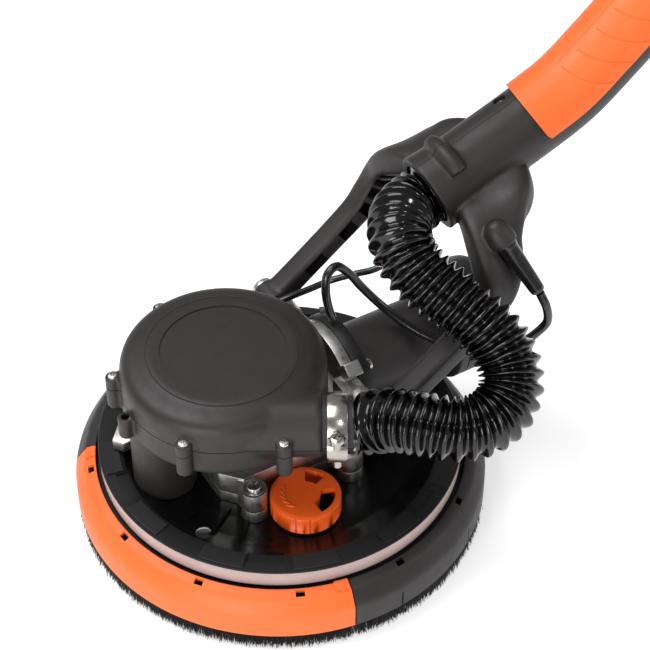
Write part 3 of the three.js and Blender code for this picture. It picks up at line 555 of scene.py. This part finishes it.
def make_lead(name, node, route, radius):
    """A round sheathed lead along its route."""
    path, length = route_curve(route, 1.5)
    lead = tube(name, path, radius, 20)
    dress(lead, "lead_rubber", node, angle=50)
    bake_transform(lead)


make_hose()
make_lead("motor_lead_sheath", "motor_lead", MOTOR_LEAD_ROUTE, 2.6)
make_lead("lamp_lead_sheath", "lamp_lead", LAMP_LEAD_ROUTE, 2.0)

# ---------------------------------------------------------------- skirt and its brushes

SKIRT_OUTLINE = [
    (121.4, 12), (122.6, 12), (123, 12.4), (123, 26), (122.4, 28.4), (121, 30.6), (117.4, 35.9),
    (116.2, 37), (111.6, 39), (110.6, 39), (110.3, 38.4), (110.3, 37.4), (115.2, 35.6), (119.6, 29.8),
    (121.2, 26),
]
SLOT_HEADINGS = [159, 188, 216, 245.5, 276.5, 306, 335, 4, 33, 62, 91, 120]


def slot_tool(heading):
    tool = box("slot", (111.8, -2.6, 33), (115.2, 2.6, 42))
    return place(tool, heading=heading)


def make_skirt():
    gap = 0.16
    low, high = 15.6, 17.8      # the flange that carries the bristles
    rear = lathe("skirt_rear", SKIRT_OUTLINE, 240, FRONT_END + gap, REAR_SWEEP - 2 * gap)
    # Shallow facets run round the outside of the rear skirt.
    facets = []
    for heading in range(FRONT_END + 14, FRONT_START + 350, 29):
        for outline in ([(122.2, 13), (124, 13), (124, 24), (122.2, 24)],
                        [(116.6, 36.7), (118, 38), (122, 32), (120.6, 31)]):
            facets.append(lathe("facet", outline, 300, heading, 0.5))
    boolean(rear, "DIFFERENCE", *facets)
    boolean(rear, "DIFFERENCE", *[slot_tool(h) for h in SLOT_HEADINGS if not FRONT_START < h < FRONT_END])
    carrier = hoop("carrier", 106.4, 121.6, low, high, 200, FRONT_END + gap, REAR_SWEEP - 2 * gap)
    inner = hoop("inner", 106.2, 114.4, low, high, 200)
    skirt = merge("skirt_shell", rear, carrier, inner)
    round_edges(skirt, 0.35)
    finish(skirt, "charcoal_plastic", "skirt", "skirt_ring")

    front = lathe("front_shell", SKIRT_OUTLINE, 240, FRONT_START + gap, FRONT_SWEEP - 2 * gap)
    boolean(front, "DIFFERENCE", *[slot_tool(h) for h in SLOT_HEADINGS if FRONT_START < h < FRONT_END])
    seat = hoop("seat", 114.9, 121.6, low, high, 200, FRONT_START + gap, FRONT_SWEEP - 2 * gap)
    # A thicker lip at each end, with the snap tongue beside it.
    lips = []
    lip = [(110.5, 38), (115.6, 36.4), (116.2, 38.4), (111.8, 40.2), (110.5, 40.2)]
    for heading in (FRONT_START + 0.5, FRONT_END - 4.5):
        lips.append(lathe("lip", lip, 300, heading, 4))
    for heading in (FRONT_START + 0.6, FRONT_END - 2.4):
        lips.append(hoop("tongue", 120.8, 121.9, 14, 24, 300, heading, 1.8))
    shell = merge("skirt_front_shell", front, seat, *lips)
    round_edges(shell, 0.35)
    finish(shell, "orange_plastic", "skirt_front", "front_skirt")


def make_brush(name, body, node, start, sweep, seed):
    """Dense nylon bristles in staggered rows, each a tapered triangular strand."""
    dice = random.Random(seed)
    points, faces = [], []
    for row, radius in enumerate((118.0, 119.0, 120.0)):
        heading = start + 0.2 + 0.1 * row
        while heading < start + sweep - 0.2:
            for _ in range(3):
                t = math.radians(heading + dice.uniform(-0.16, 0.16))
                out = Vector((math.cos(t), math.sin(t), 0))
                along = Vector((-math.sin(t), math.cos(t), 0))
                root = out * (radius + dice.uniform(-0.4, 0.4)) + Z * 15.2
                tip_z = max(0.05, dice.triangular(0.0, 3.4, 0.6))
                tip = root + out * dice.triangular(-0.9, 3.4, 0.8) + along * dice.uniform(-1.8, 1.8)
                tip.z = tip_z
                middle = root.lerp(tip, 0.55) + out * dice.uniform(-0.2, 0.3)
                first = len(points)
                for centre, width in ((root, 0.32), (middle, 0.3), (tip, 0.14)):
                    for k in range(3):
                        a = t + 2 * math.pi * k / 3
                        points.append(centre + Vector((math.cos(a), math.sin(a), 0)) * width)
                for ring in (first, first + 3):
                    for k in range(3):
                        j = (k + 1) % 3
                        faces.append((ring + k, ring + j, ring + 3 + j, ring + 3 + k))
                faces.append((first + 6, first + 7, first + 8))
                faces.append((first + 2, first + 1, first))
            heading += 0.34
    strands = make_mesh("strands", points, faces)
    back = lathe("back", [(117.3, 9.5), (120.7, 9.5), (120.8, 15.3), (117.2, 15.3)], 220, start, sweep)
    brush = merge(name, strands, back)
    finish(brush, "bristle", body, node)


make_skirt()
make_brush("rear_bristles", "skirt", "rear_brush", FRONT_END + 0.3, REAR_SWEEP - 0.6, 3)
make_brush("front_bristles", "skirt_front", "front_brush", FRONT_START + 0.3, FRONT_SWEEP - 0.6, 5)


def make_springs():
    """Four coil springs hold the skirt down."""
    for n in range(4):
        heading = math.radians(30 + 90 * n)
        centre = Vector((108.2 * math.cos(heading), 108.2 * math.sin(heading), 0))
        turns, steps, coil, foot, height = 6, 150, 1.45, 18.5, 13.5
        path = []
        for i in range(steps + 1):
            t = 2 * math.pi * turns * i / steps
            rise = foot + height * i / steps
            path.append(centre + Vector((coil * math.cos(t), coil * math.sin(t), rise)))
        spring = tube(f"coil_spring_{n + 1}", path, 0.34)
        finish(spring, "steel", "drive_head", f"skirt_spring_{n + 1}", angle=60)
        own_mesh(spring)


make_springs()

# ---------------------------------------------------------------- shroud, lamp ring and suction knob


def make_shroud():
    rim = SHROUD_RADIUS
    outline = [
        (16, 40), (80, 40), (102.8, 45.5), (103, 22), (rim, 22), (rim, 32.8), (109.4, 32.8),
        (109.4, 35.2), (rim, 35.2), (rim, 49.4), (108.1, 49.4), (108.2, 49.6), (107.8, 50.2),
        (96, 49.9), (94.6, 49.3), (84.5, 44.6), (82, 43.6), (79, 43), (16, 43),
    ]
    tray = lathe("tray", outline, 240)
    boolean(
        tray, "DIFFERENCE",
        bar("pocket", 19.2, PIPE + Z * 43.05, PIPE + Z * 60),
        bar("dust", PIPE_BORE, PIPE + Z * 30, PIPE + Z * 60),
        bar("bleed", 12, KNOB + Z * 30, KNOB + Z * 60),
        # Lowered steps between the raised pads of the rim.
        *[hoop("step", 92, 101.5, 48.6, 52, 240, heading, 12)
          for heading in (229, 169, 109, 49, 349, 289.5)],
    )
    details = [
        bar("post", 4, KNOB + Z * 41, KNOB + Z * 50.5, 32),
        box("bridge", KNOB + Vector((-12.5, -1.5, 40)), KNOB + Vector((12.5, 1.5, 43))),
        bar("plug", 2.4, (61, -51, 42), (61, -51, 47.5), 28),
    ]
    # Low ribs stiffen the floor round the pipe and the gear case.
    for heading in (-160, -148, -136, 140, 152, 164):
        rib = box("rib", (62, -0.8, 42), (86, 0.8, 45.2))
        details.append(place(rib, heading=heading))
    # Raised pads with bevelled ends.
    pad = [(95.6, 49), (106.6, 49), (106.4, 50.7), (106, 51), (96.4, 51), (95.8, 50.6)]
    for heading in range(4, 364, 30):
        details.append(lathe("pad", pad, 240, heading, 14.5))
    shroud = merge("shroud_tray", tray, *details)
    round_edges(shroud, 0.4)
    finish(shroud, "gloss_black", "drive_head", "shroud")

    # A pale half-round tag stands up from the floor.
    tag = lathe("floor_tag", [
        (0, -0.6), (4.6, -0.6), (4.9, -0.3), (4.9, 0.3), (4.6, 0.6), (0, 0.6),
    ], 40, 0, 180)
    finish(place(tag, (-75, -42, 44), (-0.42, -0.88, 0.2), 22), "cast_aluminium", "drive_head")

    ring = lathe("lamp_band", [
        (105.8, 38.5), (107.2, 38.5), (107.7, 39), (107.8, 40), (107.8, 48.6), (107.4, 49.2),
        (105.8, 49.2),
    ], 240)
    finish(ring, "lamp_diffuser", "drive_head", "lamp_ring", angle=50)


def make_knob():
    """A cap with two windows, grooves in its wall and a fan of grip ridges."""
    profile = [
        (4.4, 49), (8, 49), (8, 53.4), (17.4, 53.4), (17.4, 44.6), (20.3, 44.6), (20.6, 45),
        (20.6, 55.6), (20.2, 56.5), (19.2, 57.1), (17.6, 57.2), (4.4, 57.2),
    ]
    cap = lathe("cap", profile, 120, centre=KNOB)
    tools = []
    for start, sweep in ((-88, 70), (17, 44)):
        tools.append(hoop("window", 8.6, 17.2, 50, 60, 180, start, sweep, KNOB))
    for heading in (-176, -136, -113):
        groove = box("groove", (20.1, -0.5, 40), (23, 0.5, 60))
        tools.append(place(groove, KNOB, heading=heading))
    boolean(cap, "DIFFERENCE", *tools)
    details = [bar("hub", 4.4, KNOB + Z * 50.6, KNOB + Z * 57.2, 40)]
    for k in range(5):
        heading = 134 + 16 * k
        t = math.radians(heading)
        at = KNOB + Vector((13.2 * math.cos(t), 13.2 * math.sin(t), 0))
        ridge = [
            oval(Z * z, X, Y, 1.0 - shrink, 2.7 - shrink, 20)
            for z, shrink in ((56.8, 0), (57.5, 0.15), (57.8, 0.5))
        ]
        details.append(place(loft("ridge", ridge), at, heading=heading + 28))
    knob = merge("suction_knob_cap", cap, *details)
    round_edges(knob, 0.4, 3)
    finish(knob, "orange_gloss", "knob", "suction_knob")


make_shroud()
make_knob()

# ---------------------------------------------------------------- fan housing, clamp and screws

SPOUT_AXIS = Vector((math.cos(math.radians(SPOUT_HEADING)), math.sin(math.radians(SPOUT_HEADING)), 0))


def spout(t):
    return SPOUT_FOOT + SPOUT_AXIS * t


def boss_places():
    for heading, beyond in RIM_BOSSES:
        t = math.radians(heading)
        yield FAN_CENTRE + Vector((math.cos(t), math.sin(t), 0)) * (FAN_RADIUS + beyond), heading


def screw(name, at, axis, radius=3.2, height=1.8):
    """A pan-head screw with a cross recess, its head's underside at the given point."""
    reach, half = radius * 0.62, radius * 0.15
    head = lathe(name, [
        (0, 0), (radius, 0), (radius, height * 0.45), (radius * 0.9, height * 0.8), (reach, height),
        (0, height),
    ], 36)
    for heading in (0, 90):
        slot = box("cross", (-reach, -half, height * 0.35), (reach, half, height + 1))
        boolean(head, "DIFFERENCE", place(slot, heading=heading))
    return place(head, at, axis, heading=20)


def make_fan_housing():
    dome = [
        (0, 133), (42.4, 133), (43.4, 132.7), (44.2, 132.1), (50.2, 130.9), (54, 129.6),
        (56.6, 127.8), (58.2, 125.2), (58.9, 122), (59, 118), (59, 95.5), (58.4, 93.6),
        (57, 92.2), (55.4, 91.7), (0, 91.7),
    ]
    housing = lathe("housing", dome, 180, centre=FAN_CENTRE)
    boolean(housing, "UNION", bar("spout", 18.3, spout(8), spout(56), 96))
    soften(housing, 1.0, 26)
    parts = [bar("pipe", 18.5, PIPE + Z * 43.4, PIPE + Z * 100, 96)]
    for at, heading in boss_places():
        parts.append(bar("boss", 4.6, at + Z * 96, at + Z * 118.5, 36))
        reach = (FAN_CENTRE - at).length - FAN_RADIUS + 3
        web = box("web", (-reach, -3.1, 98), (0, 3.1, 117.2))
        parts.append(place(web, at, heading=heading))
    # A boss without a screw stands beside the pipe.
    spare = FAN_CENTRE + Vector((-62, 2, 0))
    parts.append(bar("spare", 4.4, spare + Z * 96, spare + Z * 110, 36))
    boolean(housing, "UNION", *parts)
    soften(housing, 0.9, 3)
    boolean(housing, "UNION", bar("spigot", 16.4, spout(50), spout(73), 96))
    room = [(0, 94.2), (56.2, 94.2), (56.2, 118), (51, 126), (0, 129.6)]
    boolean(
        housing, "DIFFERENCE",
        lathe("room", room, 120, centre=FAN_CENTRE),
        hoop("ring_line", 43.2, 43.9, 132.2, 134, 140, centre=FAN_CENTRE),
        hoop("disc_step", 0, 35.8, 132.3, 134, 140, centre=FAN_CENTRE),
        bar("spare_hole", 2.4, spare + Z * 104, spare + Z * 114, 28),
        bar("bore", 14.6, spout(12), spout(80), 64),
        bar("down", PIPE_BORE, PIPE + Z * 30, PIPE + Z * 110, 64),
        bar("shaft", 5.5, FAN_CENTRE + Vector((0, -3, 85)), FAN_CENTRE + Vector((0, -3, 97)), 32),
    )
    cover = add_object("fan_cover_shell", housing.data.copy())
    lower = add_object("fan_lower_shell", housing.data.copy())
    boolean(cover, "INTERSECT", box("above", (-150, -150, FAN_SPLIT + 0.25), (100, 150, 160)))
    boolean(lower, "INTERSECT", box("below", (-150, -150, 20), (100, 150, FAN_SPLIT - 0.25)))
    bpy.data.objects.remove(housing)
    for shell, node in ((cover, "fan_cover"), (lower, "fan_shell")):
        finish(shell, "charcoal_plastic", "drive_head", node, angle=42)
    for n, (at, _) in enumerate(boss_places()):
        head = screw(f"cover_screw_{n + 1}", at + Z * 118.2, Z, 2.9, 1.7)
        finish(head, "steel", "drive_head")


def make_clamp():
    """A worm-drive clip: a slotted band, its housing and the screw."""
    band = lathe("band", [
        (16.9, -5.6), (17.7, -5.6), (17.95, -5.2), (17.95, 5.2), (17.7, 5.6), (16.9, 5.6),
    ], 120)
    tail = hoop("overlap", 17.95, 18.7, -5.0, 5.0, 120, 60, 150)
    tools = []
    for k in range(17):
        slot = box("slot", (16, -0.55, -3.4), (20, 0.55, 3.4))
        tools.append(place(slot, heading=72 + 7.6 * k))
    boolean(tail, "DIFFERENCE", *tools)
    body = loft("worm_body", [
        [Vector((17.6 + (6.2 + 0.5 * c) * u, v, z)) for u, v in
         ((0, -7.2), (0.75, -6.4), (1, -4.2), (1, 4.2), (0.75, 6.4), (0, 7.2))]
        for z, c in ((-5.6, 0), (-4.4, 1), (4.4, 1), (5.6, 0))
    ])
    worm = bar("worm", 2.9, (21.2, -10.6, 0), (21.2, 9.4, 0), 32)
    head = screw("worm_head", (21.2, -10.2, 0), -Y, 4.3, 2.6)
    clip = merge("worm_clip", band, tail, body, worm, head)
    # The worm's housing faces out sideways, with the head of its screw on top.
    outward = SPOUT_AXIS.cross(Z)
    turn = Matrix((outward, SPOUT_AXIS.cross(outward), SPOUT_AXIS)).transposed().to_4x4()
    clip.data.transform(Matrix.Translation(spout(64) * MM) @ turn)
    round_edges(clip, 0.25, 2, 40)
    finish(clip, "chrome_steel", "drive_head", "hose_clamp")


make_fan_housing()
make_clamp()

# ---------------------------------------------------------------- gear case fittings


def make_gear_case_details():
    """Screws in the case's ears and the motor's flange, and a lug on the arch."""
    ears = [(-42, -43), (21, -45), (-42, 43), (21, 45)]
    for n, (x, y) in enumerate(ears):
        washer = hoop(f"ear_washer_{n + 1}", 2.2, 5.6, 65, 65.7, 40, centre=(x, y, 0))
        head = screw("head", (x, y, 65.7), Z, 4.3, 2.4)
        pair = merge(f"ear_screw_{n + 1}", washer, head)
        finish(pair, "steel", "drive_head")
    # A square lug stands on the arched flange.
    lug = box("arch_lug", (28.4, -4.4, 30), (38.6, 4.4, 41.6))
    lug.data.transform(Matrix.Rotation(math.radians(42), 4, "X"))
    place(lug, (0, 0, MOTOR_Z))
    round_edges(lug, 0.9, 3)
    finish(lug, "cast_aluminium", "drive_head")
    for n, (y, z) in enumerate(((-25.5, 105), (25.5, 105), (-31, 60), (31, 60))):
        head = screw(f"flange_screw_{n + 1}", (44.2, y, z), X, 3.4, 2.2)
        finish(head, "steel", "drive_head")


make_gear_case_details()

# ---------------------------------------------------------------- motor


def make_motor():
    r = CAP_RADIUS
    line = Matrix.Translation(Z * MOTOR_Z * MM) @ Matrix.Rotation(math.radians(90), 4, "Y")
    barrel = lathe("tube", [
        (23.6, 44.5), (25.6, 44.5), (26, 45), (26, 96), (26.3, 99), (27.2, 104), (23.6, 104),
    ], 120)
    wall = lathe("wall", [
        (9, 103.6), (r - 3, 103.6), (r - 1, 104.2), (r, 105.6), (r, 110.8), (9, 110.8),
    ], 140, centre=(-CAP_RISE, 0, 0))
    seat = hoop("seat", 8.4, 11, 102.5, 108, 60)
    housing = merge("motor_body", barrel, wall, seat)
    housing.data.transform(line)
    round_edges(housing, 0.45)
    finish(housing, "charcoal_plastic", "drive_head", "motor_housing")

    cap = lathe("cap", [
        (r - 2.4, 111.1), (r - 0.5, 111.1), (r, 111.6), (r, 134), (r - 0.8, 138), (r - 3.4, 142.2),
        (r - 7.4, 145.4), (r - 12, 147.4), (r - 20, 148.6), (0, 149), (0, 146.6), (r - 13, 145),
        (r - 6, 141.5), (r - 2.4, 135),
    ], 140)
    slots = [box("vent", (-19, -13.5 + k * 8, 138), (19, -10.5 + k * 8, 160)) for k in range(4)]
    groove = hoop("groove", r - 0.7, r + 2, 119, 119.7, 140)
    boolean(cap, "DIFFERENCE", *slots, groove)
    cap.data.transform(line @ Matrix.Translation(Vector((-CAP_RISE * MM, 0, 0))))
    cap.name = "motor_rear_cap"
    round_edges(cap, 0.45)
    finish(cap, "charcoal_plastic", "drive_head", "motor_end_cap")


make_motor()

# ---------------------------------------------------------------- handle, fork and grip

# The handle's centre line, as (x, z) in its middle plane.
HANDLE_LINE = [
    (98, 191.5), (132, 204), (166, 216.5), (192, 228), (216, 246), (249.3, 274), (282.7, 302), (316, 330),
]
GRIP_ANGLE = math.radians(40)
GRIP_ALONG = Vector((math.cos(GRIP_ANGLE), 0, math.sin(GRIP_ANGLE)))
GRIP_UP = Vector((-math.sin(GRIP_ANGLE), 0, math.cos(GRIP_ANGLE)))
GRIP_ORIGIN = Vector((216, 0, 246))
GLAND = Vector((113, -53.5, 191))
GLAND_AXIS = Vector((0.33, -0.55, -0.77)).normalized()


def on_grip(s, n, y=0):
    """A point in the grip's own frame: s along it, n above its centre line and y across."""
    return GRIP_ORIGIN + GRIP_ALONG * s + GRIP_UP * n + Y * y


HANDLE_PATH, HANDLE_LENGTH = route_curve([(x, 0, z) for x, z in HANDLE_LINE], 2.0)


def handle_rings(start, end, size, count=56, drop=0.0, power=2.0):
    """Rings along the handle between two shares of its length."""
    frames = tube_frames(HANDLE_PATH)
    last = len(HANDLE_PATH) - 1
    rings = []
    for i, p in enumerate(HANDLE_PATH):
        share = i / last
        if start - 1e-6 <= share <= end + 1e-6:
            forward = frames[i][0]
            up = Vector((-forward.z, 0, forward.x))
            half_side, half_up = size(share)
            rings.append(oval(p - up * drop, Y, up, half_side, half_up, count, power))
    return rings


def on_handle(length, turn):
    """A point on the overmould's surface, at a length along the handle and a turn from its top."""
    steps = length / HANDLE_LENGTH * (len(HANDLE_PATH) - 1)
    k = int(steps)
    centre = HANDLE_PATH[k].lerp(HANDLE_PATH[k + 1], steps - k)
    forward = (HANDLE_PATH[k + 4].lerp(HANDLE_PATH[k + 5], steps - k)
               - HANDLE_PATH[k - 4].lerp(HANDLE_PATH[k - 3], steps - k)).normalized()
    up = Vector((-forward.z, 0, forward.x))
    t = math.radians(turn)
    return centre + up * 24.5 * math.cos(t) + Y * 24 * math.sin(t)


# One arm of the fork: centre (x, |y|, z), half width, half depth and the depth's angle above the X axis.
ARM = [
    (30, 60.25, 95, 7.75, 8.5, 127),
    (42, 60.25, 104, 7.75, 6.6, 127),
    (84, 60.25, 135.6, 7.75, 7.2, 128),
    (98, 60.25, 148.5, 7.75, 10, 137),
    (107.5, 58.25, 161.5, 8.05, 13, 152),
    (111.5, 52, 173.5, 8.6, 15, 168),
    (114.5, 43, 182.6, 9.4, 15.8, 184),
    (120.5, 32, 189.4, 10.2, 19.4, 196),
    (128, 20, 192.6, 10.8, 24.4, 200),
    (131.5, 3, 193.9, 11.5, 27, 200),
]


def arm_rings(side, first=0.0, last=9.0, shrink=0.0, inset=0.0, count=44, power=4.0):
    """Rings of one fork arm between two station numbers. inset moves them towards the middle plane."""
    steps = 8
    before = [2 * a - b for a, b in zip(ARM[0], ARM[1])]
    beyond = [2 * a - b for a, b in zip(ARM[-1], ARM[-2])]
    rows = [before, *ARM, beyond]
    smooth_rows = []
    for p0, p1, p2, p3 in zip(rows, rows[1:], rows[2:], rows[3:]):
        for i in range(steps):
            t = i / steps
            smooth_rows.append([
                0.5 * (2 * b + (c - a) * t + (2 * a - 5 * b + 4 * c - d) * t * t
                       + (3 * b - a - 3 * c + d) * t ** 3)
                for a, b, c, d in zip(p0, p1, p2, p3)
            ])
    smooth_rows.append(list(ARM[-1]))
    centres = [Vector((row[0], side * row[1], row[2])) for row in smooth_rows]
    rings = []
    for i, row in enumerate(smooth_rows):
        if not first * steps <= i <= last * steps:
            continue
        tangent = (centres[min(i + 1, len(centres) - 1)] - centres[max(i - 1, 0)]).normalized()
        angle = math.radians(row[5])
        depth = Vector((math.cos(angle), 0, math.sin(angle)))
        depth = (depth - tangent * depth.dot(tangent)).normalized()
        across = tangent.cross(depth).normalized()
        inwards = across if across.y * side < 0 else -across
        centre = centres[i] + inwards * inset
        rings.append(oval(centre, across, depth, row[3], row[4] - shrink, count, power))
    return rings


# The screw in the neck, on the far side of its top.
RECESS = Vector((150, 9, 232.8))
RECESS_AXIS = Vector((-0.30, 0.38, 0.87)).normalized()


def make_handle():
    def neck(share):
        flare = max(0.0, 0.1 - share) * 20
        return 21.5 + flare, 22 + flare

    body = loft("handle_body", handle_rings(0, 1, neck, 72))
    parts = [loft("arm", arm_rings(side)) for side in (-1, 1)]
    for side in (-1, 1):
        y0, y1 = sorted((side * 52.5, side * 68))
        parts.append(bar("eye", 9.2, PIVOT + Y * y0, PIVOT + Y * y1, 64))
    belly = []
    for s, half, low in (
        (12, 10, -14), (18, 12.5, -25), (24, 14, -32), (32, 14.8, -33.6), (40, 15, -34), (92, 15, -34),
        (99, 14.3, -32.8), (104, 13, -30), (108, 11, -22), (110, 9, -14),
    ):
        belly.append(oval(on_grip(s, (low - 6) / 2), Y, GRIP_UP, half, (-6 - low) / 2, 48, 4))
    parts.append(loft("belly", belly))
    hood = lathe("hood", [
        (0, -12.8), (3.2, -12.4), (5.6, -10.6), (7.2, -7.4), (7.8, -3.5), (7.9, 1), (7.7, 2.4), (7.3, 3),
        (0, 3),
    ], 64)
    parts.append(place(hood, GLAND, GLAND_AXIS))
    # A rounded bar lies across the seam, near the mouth of the neck.
    along = Vector((math.cos(math.radians(20)), 0, math.sin(math.radians(20))))
    up = Vector((-along.z, 0, along.x))
    mouth = Vector((98, 0, 191.5))
    turns = [math.radians(turn) for turn in range(-42, 36, 6)]
    arch = [mouth + along * 17.5 + (up * math.cos(t) + Y * math.sin(t)) * 22.4 for t in turns]
    parts.append(tube("capsule", arch, 5.4, 24))
    boolean(body, "UNION", *parts)
    soften(body, 0.9, 5)

    duct = loft("duct", handle_rings(0, 1, lambda share: (DUCT_RADIUS, DUCT_RADIUS), 48))
    end = Vector((316, 0, 330))
    tools = [
        duct,
        bar("inlet", 19, mouth - along * 6, mouth + along * 12, 72),
        bar("inner", DUCT_RADIUS, mouth + along * 8, mouth + along * 20, 72),
        bar("outlet", 17.6, end - GRIP_ALONG * 14, end + GRIP_ALONG * 6, 72),
        bar("gland", 6.5, GLAND - GLAND_AXIS * 7.4, GLAND + GLAND_AXIS * 30, 40),
        bar("pin", 4.35, PIVOT - Y * 80, PIVOT + Y * 80, 40),
        bar("button", 5.3, on_grip(36, -24, -20), on_grip(36, -24, -10), 40),
        bar("dial", 3.4, on_grip(92, -23.5, -20), on_grip(92, -23.5, -8), 32),
        grip_block("trigger_slot", (42, 80), (-8.6, 8.6), (-50, -28)),
        grip_block("room", (28, 103), (-11.5, 11.5), (-30.5, -17)),
        bar("recess", 4, RECESS - RECESS_AXIS * 4.5, RECESS + RECESS_AXIS * 8, 32),
    ]
    # Pockets with ribs between them hollow the inner faces of the arms.
    for side in (-1, 1):
        for first, last in (
            (1.25, 1.62), (1.75, 2.12), (2.25, 2.75), (2.88, 3.5), (3.62, 4.25), (4.38, 5),
        ):
            tools.append(loft("pocket", arm_rings(side, first, last, 2.2, 4.6, 28, 8)))
    boolean(body, "DIFFERENCE", *tools)
    for name, node, low, high in (
        ("handle_shell_left", "handle_left", 0.13, 90),
        ("handle_shell_right", "handle_right", -90, -0.13),
    ):
        shell = add_object(name, body.data.copy())
        boolean(shell, "INTERSECT", box("half", (0, low, 60), (380, high, 380)))
        finish(shell, "charcoal_plastic", "handle", node, angle=42)
    bpy.data.objects.remove(body)
    finish(screw("neck_screw", RECESS - RECESS_AXIS * 4.4, RECESS_AXIS, 3.1, 1.8), "steel", "handle")


def grip_block(name, along, across, up):
    """A block in the grip's own frame: along it, across it and above it."""
    rings = []
    for s in along:
        rings.append([on_grip(s, n, y) for y, n in
                      ((across[0], up[0]), (across[1], up[0]), (across[1], up[1]), (across[0], up[1]))])
    return loft(name, rings)


def front_wedge(outline):
    """A block in front of the overmould's slanted front edge.

    Its outline has points of (distance behind the edge, height above the edge's foot).
    """
    foot = Vector((169, 0, 217.9))
    along = Vector((math.cos(math.radians(24)), 0, math.sin(math.radians(24))))
    up = Vector((-along.z, 0, along.x))
    rings = []
    for y in (-40, 40):
        rings.append([
            foot + along * (s - 0.57 - 0.17 * n + 0.114 * y) + up * n + Y * y for s, n in outline
        ])
    return loft("front", rings)


def make_grip():
    """The orange overmould: a soft shell with finger scallops, bare underneath."""
    skin = loft("grip_skin", handle_rings(0.255, 0.8, lambda share: (23.9, 24.4), 72))
    inside = loft("inside", handle_rings(0.23, 0.83, lambda share: (21.9, 22.4), 72))
    under = loft("under", handle_rings(0.22, 0.84, lambda share: (40, 20), 24, 16.5, 20))
    # The front edge slants back towards the bare underside.
    wedge = front_wedge([(-30, 40), (0, 40), (0, 7), (0.8, 4), (2.6, 1.6), (6, 0.4), (9, -9), (-30, -9)])
    boolean(skin, "DIFFERENCE", inside, under, wedge)
    # Curved lines for the fingers run down both sides from the parting line on top.
    lines = [tube("parting", [on_handle(length, 0) for length in range(108, 216, 3)], 0.45)]
    for k in range(7):
        for side in (-1, 1):
            contour = []
            for turn in range(9, 84, 5):
                contour.append(on_handle(105 + 15.5 * k + 19 * (turn / 85) ** 2.2, side * turn))
            lines.append(tube("contour", contour, 0.42))
    boolean(skin, "DIFFERENCE", *lines)
    skin.name = "grip_overmould"
    finish(skin, "orange_plastic", "handle", "grip_cover")


def make_gland():
    """A smooth tapered strain-relief sleeve."""
    profile = [
        (2.7, -7), (6.2, -7), (6.2, 4), (5.9, 5.2), (5.5, 7), (5.1, 16), (4.7, 27), (4.4, 34),
        (4.2, 36), (3.6, 37), (2.7, 37),
    ]
    sleeve = lathe("gland_sleeve", profile, 60)
    place(sleeve, GLAND, GLAND_AXIS)
    finish(sleeve, "lead_rubber", "handle", "cable_gland")


make_handle()
make_grip()
make_gland()

# ---------------------------------------------------------------- the remaining CAD solids


def dress_cad_nodes():
    """CAD solids of the right shape stay, with rounded edges and the same materials."""
    slots = {part["node"]: part["material_slot"] for part in frame["record"]["subparts"]}
    for name, node in frame["nodes"].items():
        if node.hide_render:
            continue
        node.data.materials.clear()
        node.data.materials.append(MATERIALS[slots[name]])
        weld = node.modifiers.new("weld", "WELD")
        weld.merge_threshold = 1e-6
        size = max(node.dimensions)
        round_edges(node, 0.5 if size > 0.03 else 0.2, 2, 40)
        smooth(node, 40)


dress_cad_nodes()

# ---------------------------------------------------------------- light and floor


def make_stage():
    floor = add_object("floor", bpy.data.meshes.new("floor"))
    work = bmesh.new()
    bmesh.ops.create_grid(work, x_segments=1, y_segments=1, size=4)
    work.to_mesh(floor.data)
    work.free()
    floor.location.z = -0.0002
    paper = principled(
        "floor_paper", (0.9, 0.9, 0.9), 0.9, Emission_Color=(1, 1, 1, 1), Emission_Strength=0.42)
    vary_roughness(paper, 0.85, 0.95, 30)
    floor.data.materials.append(paper)

    world = bpy.data.worlds.new("studio")
    bpy.context.scene.world = world
    world.use_nodes = True
    background = world.node_tree.nodes["Background"]
    background.inputs["Color"].default_value = (1, 1, 1, 1)
    background.inputs["Strength"].default_value = 0.34

    middle = Vector((0.05, 0, 0.08))
    for name, place_at, power, size in (
        ("key", (-0.5, 0.5, 1.6), 22, 1.1),
        ("right", (1.2, -0.9, 0.9), 4, 0.5),
        ("front", (-1.3, -1.0, 0.5), 13, 0.7),
        ("glint", (-0.2, -0.9, 1.2), 2.5, 0.14),
    ):
        data = bpy.data.lights.new(name, "AREA")
        data.energy = power
        data.size = size
        light = bpy.data.objects.new(name, data)
        bpy.context.scene.collection.objects.link(light)
        light.location = place_at
        light.rotation_euler = (middle - Vector(place_at)).to_track_quat("-Z", "Y").to_euler()
    bpy.context.scene.view_settings.view_transform = "Standard"


make_stage()
